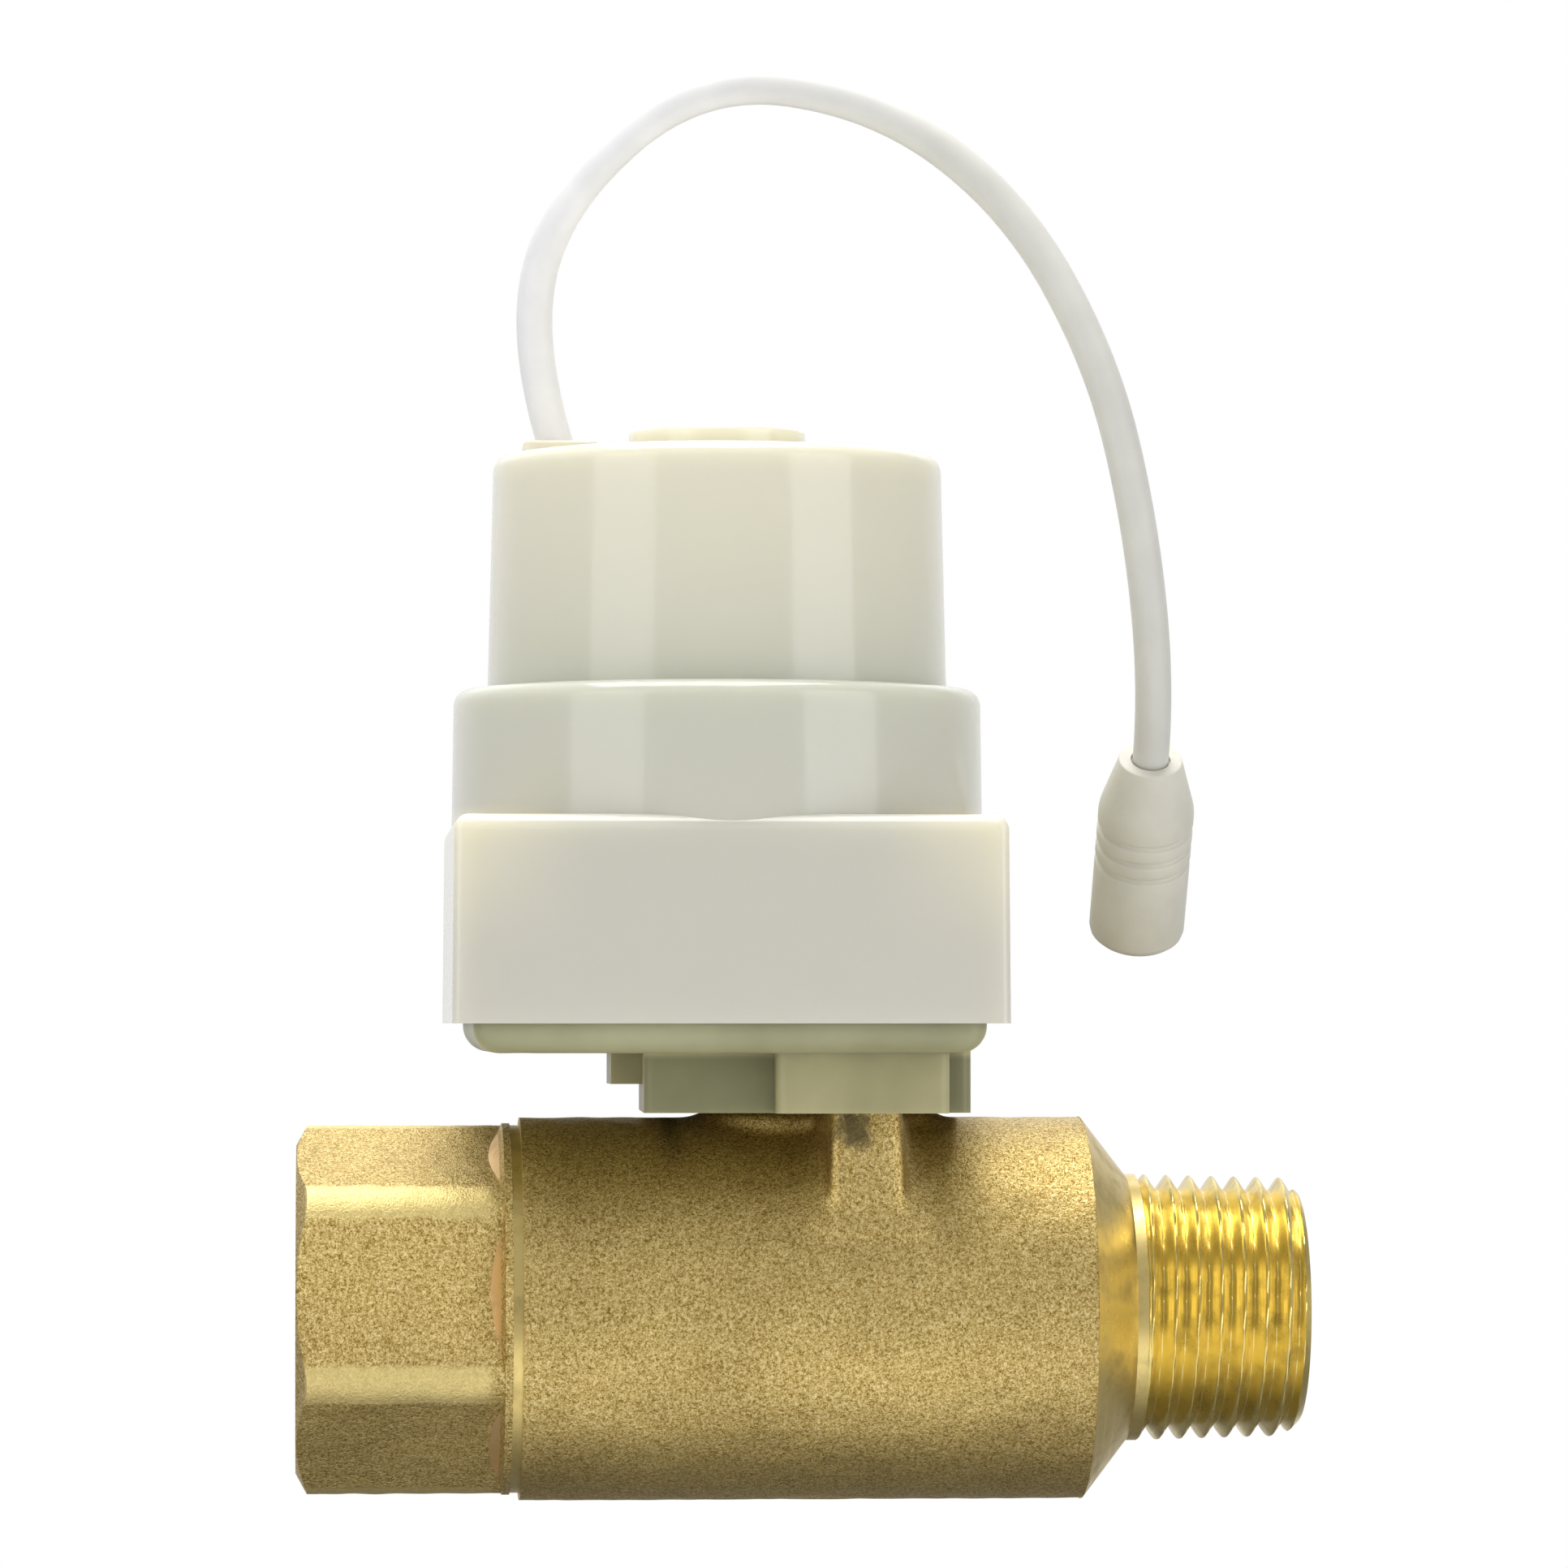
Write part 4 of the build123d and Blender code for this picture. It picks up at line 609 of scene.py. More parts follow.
def flareBlank():
    c = casting
    left, right = c["ribX"] - c["flareWidth"] / 2, c["ribX"] + c["flareWidth"] / 2
    bm = turnLying(
        [(left, 0), (left, c["flareRadius"]), (right, c["flareRadius"]), (right, 0)], steps=160)
    cutBehind(bm, (0, 0, c["flareFoot"]), (0, 0, -1))
    bmesh.ops.recalc_face_normals(bm, faces=bm.faces)
    return bm


def makeCasting():
    c = casting
    barrel = bmesh.new()
    lie = Matrix.Rotation(math.pi / 2, 4, "Y")
    middle = Matrix.Translation(((c["start"] + c["end"]) / 2, 0, 0))
    addCylinder(barrel, c["radius"], c["end"] - c["start"] + c["spare"], middle @ lie, 160)
    blank = combine(barrel, padBlanks() + [ribBlank(-1), ribBlank(1), flareBlank()], "UNION")
    reach, half = c["ribFront"] - c["ribDepth"], c["betweenWidth"] / 2
    between = boxBetween(
        (c["ribX"] - half, -reach, c["padTop"]), (c["ribX"] + half, reach, c["betweenTop"]))
    blank = combine(blank, [between], "DIFFERENCE")
    bm = castSkin(blank, c["voxel"], c["steps"], c["rough"])
    cutBehind(bm, (c["start"], 0, 0), (-1, 0, 0))
    cutBehind(bm, (c["end"], 0, 0), (1, 0, 0))
    neck = turnUpright(stemX, 0, [
        (0, c["neckFoot"]), (c["neckRadius"], c["neckFoot"]), (c["neckRadius"], bodyHigh.z),
        (0, bodyHigh.z)], steps=64)
    bore = [(c["start"] - past, 0), (c["start"] - past, c["spigotBore"])] + c["chamber"]
    bore += [(c["end"] + past, c["portRadius"]), (c["end"] + past, 0)]
    stemHole = turnUpright(stemX, 0, c["stemHole"], steps=64)
    screwHoles = bmesh.new()
    for side in (-1, 1):
        mouth = Matrix.Translation((stemX + side * c["screwSpread"], 0, c["padTop"]))
        addCylinder(screwHoles, c["screwRadius"], 2 * c["screwDepth"], mouth, 24)
    bm = combine(bm, [neck], "UNION")
    bm = combine(bm, [turnLying(bore, steps=96), stemHole, screwHoles], "DIFFERENCE")
    finish = castBrass("castBrass", brass["barrelGrain"], stain=c["stain"])
    finishPiece("valve_casting", bm, [finish], "valve_body", sharpAngle=42)


makeCasting()
print("valve casting done")


# outlet nose: turned cone, shoulder and tapered pipe thread

nose = {
    "start": casting["end"],
    "startRadius": 15.26,
    "shoulderStart": 66.1,
    "shoulderRadius": 10.63,
    "threadStart": 66.95,
    "end": bodyHigh.x,
    "crestFirst": 10.63,
    "crestLast": 10.30,
    "pitch": 1.814,
    "depth": 1.12,
    "flat": 0.05,
    "chamfer": 1.1,
    "steps": 160,
    "rowsPerPitch": 22,
    "firstCrest": 67.77,
    "runIn": 0.25,
}


def makeNose():
    n = nose
    port = casting["portRadius"]
    length = n["end"] - n["threadStart"]
    rows = int(length / n["pitch"] * n["rowsPerPitch"])
    outline = [(n["start"], n["startRadius"]), (n["shoulderStart"], n["shoulderRadius"])]
    outline += [
        (n["threadStart"] + length * row / rows, n["shoulderRadius"]) for row in range(rows + 1)]
    outline += [(n["end"], port), (n["start"], port)]
    bm = turnLying(outline, n["steps"])
    for vert in bm.verts:
        along = vert.co.x - n["threadStart"]
        if along < 0.01 or fromFlow(vert.co) < port + 0.5:  # not on the thread
            continue
        turns = (vert.co.x - n["firstCrest"]) / n["pitch"] + 0.5
        turns -= math.atan2(vert.co.y, vert.co.z) / math.tau
        crest = n["crestFirst"] + (n["crestLast"] - n["crestFirst"]) * along / length
        fade = min(1.0, along / n["runIn"])
        wanted = crest - n["depth"] * (1 - threadShare(turns, n["flat"])) * fade
        moveToRadius(vert, min(wanted, crest - n["chamfer"] + n["end"] - vert.co.x))
    for face in bm.faces:
        face.material_index = int(face.calc_center_median().x > n["threadStart"])
    finishPiece(
        "outlet_nose", bm, [turnedFace, threadFace], "valve_body", sharpAngle=33)


makeNose()
print("outlet thread cut")


# inlet end cap: rough hexagon with a threaded socket, turned collar and spigot

endCap = {
    "acrossFlats": 26.3,
    "cornerRound": 3.0,
    "turn": 8.0,
    "castEnd": 16.3,
    "faceRadius": 13.0,
    "chamferEnd": 0.95,
    "outerRadius": 14.75,
    "turned": [
        (14.9, 0), (14.9, 12.9), (15.95, 13.95), (16.3, 14.75), (16.9, 14.75), (16.9, 14.6),
        (17.7, 14.6), (17.7, 12.95), (22.1, 12.95), (22.1, 11.5), (24.0, 11.5), (24.0, 12.95),
        (32.9, 12.95), (32.9, 0)],
    "turnedStart": 14.9,
    "brightStart": 16.85,
    "brightBore": 11.0,
    "lensRadius": 13.95,
    # painted highlight along the rounded hexagon edges
    "paintedEdgeHighlight": {"radii": (14.26, 14.46), "fade": (14.6, 15.9), "share": 0.65},
    "spigotEnd": 32.9,
    "portRadius": 7.0,
    "seatBack": 29.9,
    "pocketRadius": 11.0,
    "toolStart": -1.5,
    "minorRadius": 9.3155,
    "threadDepth": 1.1,
    "threadEnd": 12.5,
    "runOut": 1.8,
    "mouthRadius": 10.9,
    "pitch": 1.814,
    "flat": 0.13,
    "rowsPerPitch": 16,
    "voxel": 0.28,
    "steps": 7,
    "rough": 0.06,
}


def hexagonBlank():
    e = endCap
    bm = bmesh.new()
    bmesh.ops.create_circle(bm, cap_ends=True, segments=6, radius=e["acrossFlats"] / math.sqrt(3))
    made = bmesh.ops.extrude_face_region(bm, geom=bm.faces[:])
    top = [item for item in made["geom"] if isinstance(item, bmesh.types.BMVert)]
    bmesh.ops.translate(bm, vec=(0, 0, e["castEnd"] + 2 * past), verts=top)
    roundEdges(bm, edgesAlong(bm, 2), e["cornerRound"] * math.tan(math.radians(30)))
    lie = Matrix.Rotation(math.pi / 2, 4, "Y")
    lie = Matrix.Rotation(math.radians(30 - e["turn"]), 4, "X") @ lie
    bmesh.ops.transform(bm, matrix=Matrix.Translation((-past, 0, 0)) @ lie, verts=bm.verts)
    bmesh.ops.recalc_face_normals(bm, faces=bm.faces)
    return bm


def socketTool():
    e = endCap
    start, minor = e["toolStart"], e["minorRadius"]
    rows = int(e["threadEnd"] / e["pitch"] * e["rowsPerPitch"])
    outline = [(start, 0)]
    outline += [(start + (e["threadEnd"] - start) * row / rows, minor) for row in range(rows + 1)]
    outline += [
        (e["threadEnd"], e["portRadius"]), (e["seatBack"], e["portRadius"]),
        (e["seatBack"], e["pocketRadius"]), (e["spigotEnd"] + past, e["pocketRadius"]),
        (e["spigotEnd"] + past, 0)]
    bm = turnLying(outline, steps=120)
    for vert in bm.verts:
        x = vert.co.x
        if abs(fromFlow(vert.co) - minor) > 0.05:  # not on the thread
            continue
        turns = x / e["pitch"] - math.atan2(vert.co.y, vert.co.z) / math.tau
        fade = min(1.0, max(0.0, (e["threadEnd"] - x) / e["runOut"]))
        wanted = minor + e["threadDepth"] * threadShare(turns, e["flat"]) * fade
        moveToRadius(vert, max(wanted, e["mouthRadius"] - max(0.0, x)))
    return bm


def makeEndCap():
    e = endCap
    bm = castSkin(hexagonBlank(), e["voxel"], e["steps"], e["rough"])
    limit = turnLying([
        (0, 0), (0, e["faceRadius"]), (e["chamferEnd"], e["outerRadius"]),
        (e["castEnd"], e["outerRadius"]), (e["castEnd"], 0)], steps=144)
    bm = combine(bm, [limit], "INTERSECT")
    bm = combine(bm, [turnLying(e["turned"], steps=144)], "UNION")
    bm = combine(bm, [socketTool()], "DIFFERENCE")
    bm.normal_update()
    for face in bm.faces:
        middle = face.calc_center_median()
        radius = fromFlow(middle)
        if radius < e["brightBore"] or middle.x > e["brightStart"]:
            face.material_index = 1
        elif middle.x > e["turnedStart"] and face.normal.x < -0.5 and radius < e["lensRadius"]:
            face.material_index = 2  # the cutter's fresh marks behind the flats
    rough = castBrass("endCapBrass", brass["capGrain"], paintedEdgeHighlight=e["paintedEdgeHighlight"])
    finishPiece(
        "end_cap", bm, [rough, turnedFace, freshFace], "inlet_end_cap", sharpAngle=40)


makeEndCap()
print("end cap done")


# actuator cover: one milky moulding in three steps and a boss

coverLow, coverHigh = nodeBox("actuator_cover")
cover = {
    "x": (coverLow.x + coverHigh.x) / 2,
    "bottom": 22.7,
    "side": 43.1,
    "draft": 0.5,
    "cornerRound": 0.8,
    "boxTop": 38.85,
    "topRound": 1.25,
    "wall": 1.5,
    "innerCorner": 1.0,
    "innerRound": 0.3,
    "drums": [
        (21.2, 38.85), (21.05, 49.3), (18.35, 49.3), (17.9, 68.0), (7.05, 68.0), (7.05, 70.1)],
    "rimRounds": {3: 1.25, 5: 1.25, 7: 0.4},
    "drumFoot": 35.85,
    "hollowFoot": 34.85,
    "posts": [(-16.2, -16.2), (-16.2, 16.2)],
    "postOutline": [(1.0, 22.6), (2.2, 22.6), (2.2, 37.85), (1.0, 37.85)],
    "window": {"x": 20.9, "y": 1.0, "side": 5.0, "foot": 64.0, "top": 72.0},
    "steps": 192,
    # painted light: the moulding is lighter and warmer towards the top, standing in for light from
    # above shining through the plastic
    "top": "#E9E3CB",
    "middle": "#CECEBE",
    "low": "#D2CFC2",
    # painted light on the box's upper outer corners, lit through the top where the drums don't
    # block it
    "corner": "#EFE6CB",
    "heights": (22.5, 70.0),
    "cornerLightFade": (10.0, 21.0),
    "cornerLightRise": (27.0, 38.0),
    "cornerLightEnd": (38.8, 40.0),
}


def milkPlastic():
    c = cover
    material, tree, shader = newMaterial(
        "milkPlastic", IOR=1.5, Subsurface_Weight=0.6, Subsurface_Radius=(1.0, 0.95, 0.75),
        Subsurface_Scale=4.5 * mm, Coat_Weight=0.45, Coat_Roughness=0.04)
    vector = objectPoint(tree)
    # painted light: lighter and warmer towards the top, for light from above shining through the
    # plastic
    height = fit(tree, placeAlong(tree, "Z"), c["heights"], 0.0, 1.0, mm)
    cloud = times(tree, maths(tree, "SUBTRACT", grain(tree, vector, 60, 3), 0.5), 0.12)
    colour = ramp(tree, maths(tree, "ADD", height, cloud), [
        (0.0, paint(c["low"])), (0.6, paint(c["middle"])), (0.95, paint(c["top"]))])
    # painted light: the box's outer corners just below its top edge are lighter, standing in for
    # light from above shining in through the top
    sideways = maths(tree, "SUBTRACT", placeAlong(tree, "X"), c["x"] * mm)
    corner = fit(tree, maths(tree, "ABSOLUTE", sideways), c["cornerLightFade"], 0.0, 0.8, mm)
    cornerLightHeights = times(
        tree, fit(tree, placeAlong(tree, "Z"), c["cornerLightRise"], 0.0, 1.0, mm),
        fit(tree, placeAlong(tree, "Z"), c["cornerLightEnd"], 1.0, 0.0, mm))
    colour = mixColour(tree, times(tree, corner, cornerLightHeights), colour, paint(c["corner"]))
    gloss = fit(tree, grain(tree, vector, 900, 2), (0.3, 0.7), 0.13, 0.19)
    tree.links.new(colour, shader.inputs["Base Color"])
    tree.links.new(gloss, shader.inputs["Roughness"])
    addBump(tree, shader, grain(tree, vector, 140, 2), 0.04, 1.2)
    return material


def draftedBox(low, high, side, cornerRound, topRound):
    lean = 2 * math.tan(math.radians(cover["draft"]))
    top = side - lean * (high - topRound - low)
    levels = [(low, (side, side), cornerRound)]
    levels += rolledTop(high, (top, top), cornerRound, topRound)
    return stackedBox((cover["x"], 0), levels)


def makeCover():
    c = cover
    wall, foot, crown = c["wall"], c["drums"][0][0], c["drums"][-1][1]
    outside = draftedBox(c["bottom"], c["boxTop"], c["side"], c["cornerRound"], c["topRound"])
    drums = [(0, c["drumFoot"]), (foot, c["drumFoot"])] + c["drums"] + [(0, crown)]
    drums = turnUpright(c["x"], 0, drums, c["steps"], c["rimRounds"])
    bm = combine(outside, [drums], "UNION")
    inner = draftedBox(
        c["bottom"] - past, c["boxTop"] - wall, c["side"] - 2 * wall,
        c["innerCorner"], c["innerRound"])
    hollow = [(0, c["hollowFoot"]), (foot - wall, c["hollowFoot"])]
    hollow += [(radius - wall, z - wall) for radius, z in c["drums"]] + [(0, crown - wall)]
    hollow = turnUpright(c["x"], 0, hollow, c["steps"])
    w = c["window"]
    half = w["side"] / 2
    window = boxBetween(
        (w["x"] - half, w["y"] - half, w["foot"]), (w["x"] + half, w["y"] + half, w["top"]))
    bm = combine(bm, [inner, hollow, window], "DIFFERENCE")
    posts = [turnUpright(c["x"] + x, y, c["postOutline"], steps=32) for x, y in c["posts"]]
    bm = combine(bm, posts, "UNION")
    finishPiece("cover_moulding", bm, [milkPlastic()], "actuator_cover")


makeCover()
print("cover moulded")


# base plate: olive-cream tray whose blocks hug the ribs of the casting

basePlate = {
    "skirtLeft": stemX - 15.0,
    "skirtTop": 20.5,
    "wallReach": 2.0,
    "frontShift": 0.6,
    "rearShift": 1.3,
    "tabShift": 0.35,
    "halfWidth": 12.0,
    "near": 0.1,
    "light": "#D2D0A8",
    "dark": "#BBB992",
    # painted shade on the skirt's recessed walls, front and back
    "skirtFade": (19.8, 20.8),
    "recessShadeFront": (12.8, 14.5),
    "recessShadeBack": (10.5, 11.8),
}


def basePlastic():
    b = basePlate
    material, tree, shader = newMaterial(
        "basePlastic", IOR=1.5, Subsurface_Weight=0.5, Subsurface_Radius=(1.0, 0.95, 0.7),
        Subsurface_Scale=2.2 * mm)
    vector = objectPoint(tree)
    cloud = grain(tree, vector, 120, 3)
    colour = ramp(tree, cloud, [(0.3, paint(b["dark"])), (0.7, paint(b["light"]))])
    lower = fit(tree, placeAlong(tree, "Z"), b["skirtFade"], 1.0, 0.0, mm)
    # painted shade: the skirt's recessed walls, set back under the tray, are darkened
    depth = maths(tree, "ABSOLUTE", placeAlong(tree, "Y"))
    recessShade = times(
        tree, fit(tree, depth, b["recessShadeFront"], 1.0, 0.0, mm),
        fit(tree, depth, b["recessShadeBack"], 0.0, 1.0, mm))
    place = times(tree, lower, fit(tree, recessShade, (0.0, 1.0), 0.5, 1.0))
    shade = ramp(tree, place, [  # the tray, the skirt, and the skirt's recess darkened as painted shade
        (0.0, (0.66, 0.67, 0.66)), (0.5, (0.73, 0.70, 0.63)), (1.0, (0.42, 0.42, 0.36))])
    colour = mixColour(tree, 1.0, colour, shade, "MULTIPLY")
    tree.links.new(colour, shader.inputs["Base Color"])
    tree.links.new(fit(tree, cloud, (0.3, 0.7), 0.34, 0.44), shader.inputs["Roughness"])
    addBump(tree, shader, grain(tree, vector, 3200, 2), 0.10, 0.1)
    return material


def nodeCopy(name):  # a merged copy of a CAD node, in millimetres
    bm = bmesh.new()
    bm.from_mesh(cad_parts[name].data)
    bmesh.ops.scale(bm, vec=(1 / mm, 1 / mm, 1 / mm), verts=bm.verts)
    bmesh.ops.remove_doubles(bm, verts=bm.verts, dist=0.001)
    bmesh.ops.dissolve_limit(
        bm, angle_limit=math.radians(0.5), verts=bm.verts, edges=bm.edges)
    return bm


def makeBasePlate():  # the node's own shape, with its left wall as far in as the real one
    bm = nodeCopy("base_plate")
    b = basePlate
    for vert in bm.verts:
        fromWall = vert.co.x - b["skirtLeft"]
        beside = abs(vert.co.y) > b["halfWidth"] + b["near"]
        if vert.co.z > b["skirtTop"] or fromWall > b["wallReach"] or beside:
            continue
        if fromWall > -b["near"]:
            along = (vert.co.y + b["halfWidth"]) / (2 * b["halfWidth"])
            vert.co.x += b["frontShift"] + (b["rearShift"] - b["frontShift"]) * along
        else:
            vert.co.x += b["tabShift"]
    finishPiece("base_moulding", bm, [basePlastic()], "base_plate")


makeBasePlate()
print("base plate done")


# cable grommet: small tapered square with the cable in its middle

grommet = {
    "x": 20.9,
    "y": 1.0,
    "side": 6.0,
    "neck": 5.0,
    "foot": 68.0,
    "rise": 1.2,
    "inside": 65.3,
    "wall": 1.5,
    "step": 0.01,
    "taper": 0.08,
    "cornerRound": 0.5,
    "neckRound": 0.2,
    "topRound": 0.3,
    "hole": 1.5,
    "holeDepth": 0.4,
    "colour": "#EDE7D2",
}


def softPlastic(name, code, roughness, bump=0.1, scatter=0.0):
    material, tree, shader = newMaterial(
        name, IOR=1.5, Subsurface_Weight=scatter, Subsurface_Radius=(1.0, 0.95, 0.8),
        Subsurface_Scale=1.0 * mm)
    vector = objectPoint(tree)
    bright, dull = twoTones(code, 0.9)
    cloud = grain(tree, vector, 240, 3)
    gloss = fit(tree, cloud, (0.3, 0.7), roughness - 0.04, roughness + 0.06)
    tree.links.new(ramp(tree, cloud, [(0.3, dull), (0.7, bright)]), shader.inputs["Base Color"])
    tree.links.new(gloss, shader.inputs["Roughness"])
    addBump(tree, shader, grain(tree, vector, 4200, 2), bump, 0.1)
    return material


def makeGrommet():
    g = grommet
    foot, top, under = g["foot"], g["foot"] + g["rise"], g["foot"] - g["wall"]
    side, neck = (g["side"], g["side"]), (g["neck"], g["neck"])
    crown = (g["side"] - 2 * g["taper"], g["side"] - 2 * g["taper"])
    levels = [
        (g["inside"], side, g["cornerRound"]),
        (under, side, g["cornerRound"]),
        (under + g["step"], neck, g["neckRound"]),
        (foot - g["step"], neck, g["neckRound"]),
        (foot, side, g["cornerRound"]),
    ]
    levels += rolledTop(top, crown, g["cornerRound"], g["topRound"], steps=5)
    bm = stackedBox((g["x"], g["y"]), levels)
    x, y, z = cable["points"][0]
    z -= g["holeDepth"]
    hole = turnUpright(
        x, y, [(0, z), (g["hole"], z), (g["hole"], top + past), (0, top + past)], steps=48)
    bm = combine(bm, [hole], "DIFFERENCE")
    finish = softPlastic("grommetPlastic", g["colour"], 0.38, 0.05, 0.2)
    finishPiece("grommet_moulding", bm, [finish], "cable_grommet")


makeGrommet()
print("grommet done")


# socket on the cable's end: tapered neck, three finger grooves and a bore with contact rings

socket = {
    "start": cable["points"][-1],
    "before": cable["points"][-2],
    "length": 17.2,
    "neckRadius": 2.55,
    "coneEnd": 4.6,
    "radius": 3.87,
    "smallRound": 0.12,
    "coneRound": 0.5,
    "endRound": 0.9,
    "mouthRound": 0.2,
    "cableGap": 0.16,
    "gapDepth": 0.35,
    "grooves": (6.0, 7.6, 9.2),
    "grooveWidth": 0.6,
    "grooveDepth": 0.3,
    "boreRadius": 1.8,
    "boreStart": 3.5,
    "rings": (11.3, 7.9, 4.5),
    "ringWidth": 1.2,
    "ringRadius": 2.5,
    "colour": "#DDDBCE",
}


def makeSocket():
    s = socket
    hole = cable["diameter"] / 2
    gap = hole + s["cableGap"]
    outline = [
        (0, 0), (0, hole), (s["gapDepth"], hole), (s["gapDepth"], gap), (0, gap),
        (0, s["neckRadius"]), (s["coneEnd"], s["radius"])]
    rounds = {5: s["smallRound"], 6: s["coneRound"]}
    slope, floor = s["grooveWidth"] / 4, s["radius"] - s["grooveDepth"]
    for groove in s["grooves"]:
        end = groove + s["grooveWidth"]
        for corner in (
                (groove, s["radius"]), (groove + slope, floor),
                (end - slope, floor), (end, s["radius"])):
            rounds[len(outline)] = s["smallRound"]
            outline.append(corner)
    rounds[len(outline)] = s["endRound"]
    rounds[len(outline) + 1] = s["mouthRound"]
    outline += [(s["length"], s["radius"]), (s["length"], s["boreRadius"])]
    for ring in s["rings"]:
        end = ring + s["ringWidth"]
        outline += [
            (end, s["boreRadius"]), (end, s["ringRadius"]), (ring, s["ringRadius"]),
            (ring, s["boreRadius"])]
    outline += [(s["boreStart"], s["boreRadius"]), (s["boreStart"], 0)]
    bm = turnLying(outline, 96, rounds, roundSegments=3)
    away = (Vector(s["start"]) - Vector(s["before"])).normalized()
    turn = Vector((1, 0, 0)).rotation_difference(away).to_matrix().to_4x4()
    bmesh.ops.transform(bm, matrix=Matrix.Translation(s["start"]) @ turn, verts=bm.verts)
    finish = softPlastic("socketPlastic", s["colour"], 0.52, 0.16, 0.1)
    return finishPiece(
        "socket_moulding", bm, [finish], "connector_shell", sharpAngle=40)


socketPiece = makeSocket()
print("socket done")


# inner parts keep their CAD shape and get their finishes here

def machinedMetal(name, code, roughness, stretch=(1, 1, 1), lines=900):
    material, tree, shader = newMaterial(name, Metallic=1.0)
    marks = grain(tree, objectPoint(tree, scale=stretch), lines, 2, 0.6)
    bright, dull = twoTones(code, 0.78)
    gloss = fit(tree, marks, (0.3, 0.7), roughness + 0.1, roughness)
    tree.links.new(ramp(tree, marks, [(0.3, dull), (0.65, bright)]), shader.inputs["Base Color"])
    tree.links.new(gloss, shader.inputs["Roughness"])
    addBump(tree, shader, marks, 0.15, 0.06)
    return material


def windingCopper(name, code):
    material, tree, shader = newMaterial(name, Metallic=0.9, Roughness=0.32, Coat_Weight=0.4)
    turns = tree.nodes.new("ShaderNodeTexWave")
    turns.bands_direction = "Z"
    turns.inputs["Scale"].default_value = 2400
    turns.inputs["Distortion"].default_value = 0.6
    tree.links.new(objectPoint(tree), turns.inputs["Vector"])
    bright, dark = twoTones(code, 0.45)
    colour = ramp(tree, turns.outputs["Fac"], [(0.1, dark), (0.7, bright)])
    tree.links.new(colour, shader.inputs["Base Color"])
    addBump(tree, shader, turns.outputs["Fac"], 0.6, 0.1)
    return material


def boardLacquer(name, code):
    material, tree, shader = newMaterial(name, Roughness=0.3, Coat_Weight=0.5)
    tracks = tree.nodes.new("ShaderNodeTexVoronoi")
    tracks.feature = "DISTANCE_TO_EDGE"
    tracks.inputs["Scale"].default_value = 330
    tree.links.new(objectPoint(tree, scale=(1, 1, 0)), tracks.inputs["Vector"])
    green = paint(code)
    light = tuple(c * 1.6 + 0.01 for c in green)
    colour = ramp(tree, tracks.outputs["Distance"], [(0.05, light), (0.09, green)])
    tree.links.new(colour, shader.inputs["Base Color"])
    addBump(tree, shader, tracks.outputs["Distance"], 0.2, 0.1)
    return material


finishes = {
    "ball_chrome": machinedMetal("ballChrome", "#E2E2E4", 0.06, lines=300),
    "stem_brass": machinedMetal("stemBrass", "#D9B869", 0.24, (1, 1, 12)),
    "seat_white": softPlastic("seatWhite", "#F1F0EC", 0.42, 0.06, 0.15),
    "seal_rubber": softPlastic("sealRubber", "#26262A", 0.55, 0.2),
    "contact_metal": machinedMetal("contactGold", "#DDB863", 0.2),
    "screw_steel": machinedMetal("screwSteel", "#C9CCD0", 0.28),
    "plate_steel": machinedMetal("plateSteel", "#B6B9BC", 0.34, (20, 1, 1), 300),
    "shaft_steel": machinedMetal("shaftSteel", "#C6C8CB", 0.2, (1, 1, 14)),
    "gear_white": softPlastic("gearWhite", "#EFECDF", 0.4, 0.08, 0.1),
    "output_grey": softPlastic("outputGrey", "#6C6F72", 0.42, 0.12),
    "board_green": boardLacquer("boardGreen", "#1F6B3C"),
    "header_white": softPlastic("headerWhite", "#F1EEDF", 0.4, 0.08),
    "coil_copper": windingCopper("coilCopper", "#C06A38"),
    "bearing_bronze": machinedMetal("bearingBronze", "#A98A55", 0.45, lines=2600),
    "magnet_dark": softPlastic("magnetDark", "#3A3A3E", 0.5, 0.4),
    "wire_red": softPlastic("wireRed", "#B4231F", 0.4, 0.06),
    "cast_brass": bpy.data.materials["castBrass"],
    "cover_plastic": bpy.data.materials["milkPlastic"],
    "base_plastic": bpy.data.materials["basePlastic"],
    "cable_jacket": bpy.data.materials["cableJacket"],
    "grommet_plastic": bpy.data.materials["grommetPlastic"],
    "socket_plastic": bpy.data.materials["socketPlastic"],
}
for nodeName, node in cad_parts.items():
    for materialSlot in node.material_slots:
        name = materialSlot.material.name.split(".")[0]
        if name in finishes:
            materialSlot.material = finishes[name]
        else:
            print("no finish for", nodeName, name)
print("inner parts finished")


# studio: white backdrop for the camera, graded surroundings for reflections, three softboxes

studio = {
    "front": 0.52,
    "back": 0.85,
    "backSpan": (0.45, 0.95),
    "under": 0.12,
    "underSpan": (-0.9, 0.0),
    "above": 2.1,
    "aboveSpan": (0.6, 1.1),
    "aboveTilt": 0.5,
    "rightAbove": 0.55,
    "rightSpan": (0.3, 0.8),
    "rightHeights": (0.1, 0.5),
    "floorHeight": -120.0,
    "floorRadius": 600.0,
    "fadeStart": 200.0,
    "frontBounce": 0.9,
    "backBounce": 0.12,
    "bounceSpan": (-130.0, 30.0),
    "middle": (33.5, 0.0, 40.0),
    "distance": 600.0,
    "bearing": 51.5,
    "boxWidth": 370.0,
    "boxHeight": 800.0,
    "rightPower": 1.3,
    "leftPower": 1.1,
    "topPower": 3.3,
    "topPlace": (-10.0, 20.0, 600.0),
    "topSide": 500.0,
}


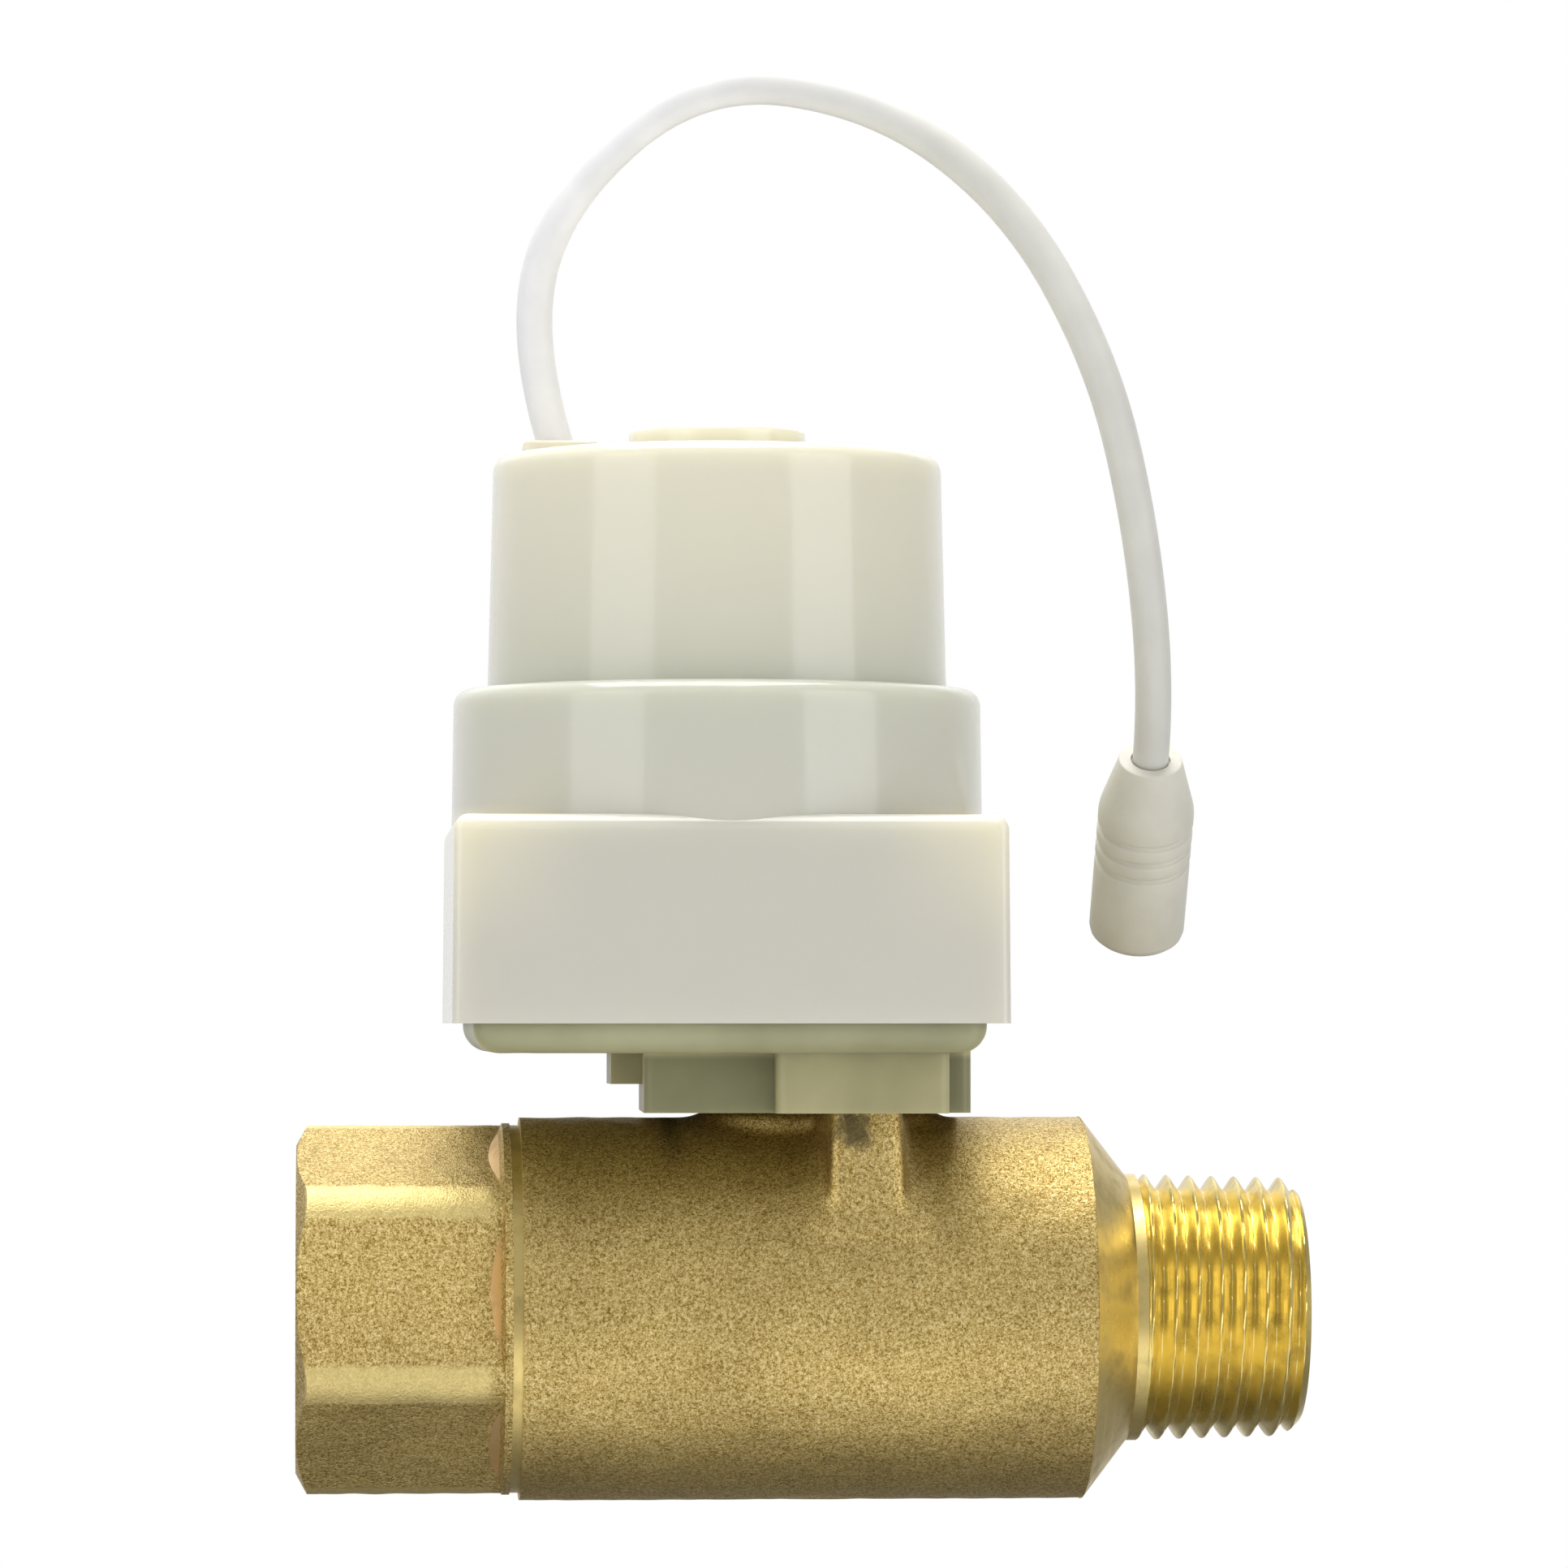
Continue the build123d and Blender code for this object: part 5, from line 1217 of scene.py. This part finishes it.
def makeWorld():
    s = studio
    world = bpy.data.worlds.new("studio")
    world.use_nodes = True
    tree = world.node_tree
    coords = tree.nodes.new("ShaderNodeTexCoord")
    parts = tree.nodes.new("ShaderNodeSeparateXYZ")
    tree.links.new(coords.outputs["Generated"], parts.inputs["Vector"])
    x, y, z = parts.outputs
    depth = fit(tree, y, s["backSpan"], s["front"], s["back"])
    below = fit(tree, z, s["underSpan"], s["under"], 1.0)
    tilted = maths(tree, "ADD", z, times(tree, y, s["aboveTilt"]))
    above = fit(tree, tilted, s["aboveSpan"], 1.0, s["above"])
    rightwards = times(
        tree, fit(tree, x, s["rightSpan"], 0, 1), fit(tree, z, s["rightHeights"], 0, 1))
    right = fit(tree, rightwards, (0.0, 1.0), 1.0, s["rightAbove"])
    light = times(tree, times(tree, depth, right), times(tree, below, above))
    surroundings = tree.nodes["Background"]
    tree.links.new(light, surroundings.inputs["Color"])
    white = tree.nodes.new("ShaderNodeBackground")
    white.inputs["Color"].default_value = (1, 1, 1, 1)
    path = tree.nodes.new("ShaderNodeLightPath")
    mix = tree.nodes.new("ShaderNodeMixShader")
    tree.links.new(path.outputs["Is Camera Ray"], mix.inputs[0])
    tree.links.new(surroundings.outputs[0], mix.inputs[1])
    tree.links.new(white.outputs[0], mix.inputs[2])
    tree.links.new(mix.outputs[0], tree.nodes["World Output"].inputs["Surface"])
    scene.world = world


def softbox(name, place, width, height, power):
    data = bpy.data.lights.new(name, "AREA")
    data.shape = "RECTANGLE"
    data.size = width * mm
    data.size_y = height * mm
    data.energy = power
    light = bpy.data.objects.new(name, data)
    light.location = Vector(place) * mm
    aim = Vector(studio["middle"]) * mm - light.location
    light.rotation_euler = aim.to_track_quat("-Z", "Y").to_euler()
    scene.collection.objects.link(light)


def sideSoftbox(name, side, power):
    angle = math.radians(side * studio["bearing"])
    away = Vector((math.sin(angle), -math.cos(angle), 0)) * studio["distance"]
    place = Vector(studio["middle"]) + away
    softbox(name, place, studio["boxWidth"], studio["boxHeight"], power)


def floorWhite():  # pale to the camera, brighter in front for the bounced light, gone at its rim
    s = studio
    material, tree, shader = newMaterial("floorWhite", Roughness=0.8)
    path = tree.nodes.new("ShaderNodeLightPath")
    cloud = grain(tree, objectPoint(tree), 8, 2)
    cloud = ramp(tree, cloud, [(0.3, (0.78, 0.78, 0.78)), (0.7, (0.82, 0.82, 0.82))])
    bounce = fit(
        tree, placeAlong(tree, "Y"), s["bounceSpan"], s["frontBounce"], s["backBounce"], mm)
    colour = mixColour(tree, path.outputs["Is Camera Ray"], bounce, cloud)
    tree.links.new(colour, shader.inputs["Base Color"])
    reach = lengthOf(tree, objectPoint(tree))
    solid = fit(tree, reach, (s["fadeStart"], s["floorRadius"]), 1.0, 0.0, mm)
    side = tree.nodes.new("ShaderNodeNewGeometry")
    above = maths(tree, "SUBTRACT", 1, side.outputs["Backfacing"])
    tree.links.new(times(tree, solid, above), shader.inputs["Alpha"])
    return material


def makeFloor():
    bm = bmesh.new()
    bmesh.ops.create_circle(bm, cap_ends=True, segments=96, radius=studio["floorRadius"])
    bmesh.ops.translate(bm, vec=(0, 0, studio["floorHeight"]), verts=bm.verts)
    bmesh.ops.scale(bm, vec=(mm, mm, mm), verts=bm.verts)
    mesh = bpy.data.meshes.new("floor")
    bm.to_mesh(mesh)
    bm.free()
    mesh.materials.append(floorWhite())
    floor = bpy.data.objects.new("floor", mesh)
    scene.collection.objects.link(floor)


makeWorld()
sideSoftbox("rightSoftbox", 1, studio["rightPower"])
sideSoftbox("leftSoftbox", -1, studio["leftPower"])
softbox("topSoftbox", studio["topPlace"], studio["topSide"], studio["topSide"], studio["topPower"])
makeFloor()
scene.view_settings.view_transform = "Standard"
print("studio lit")
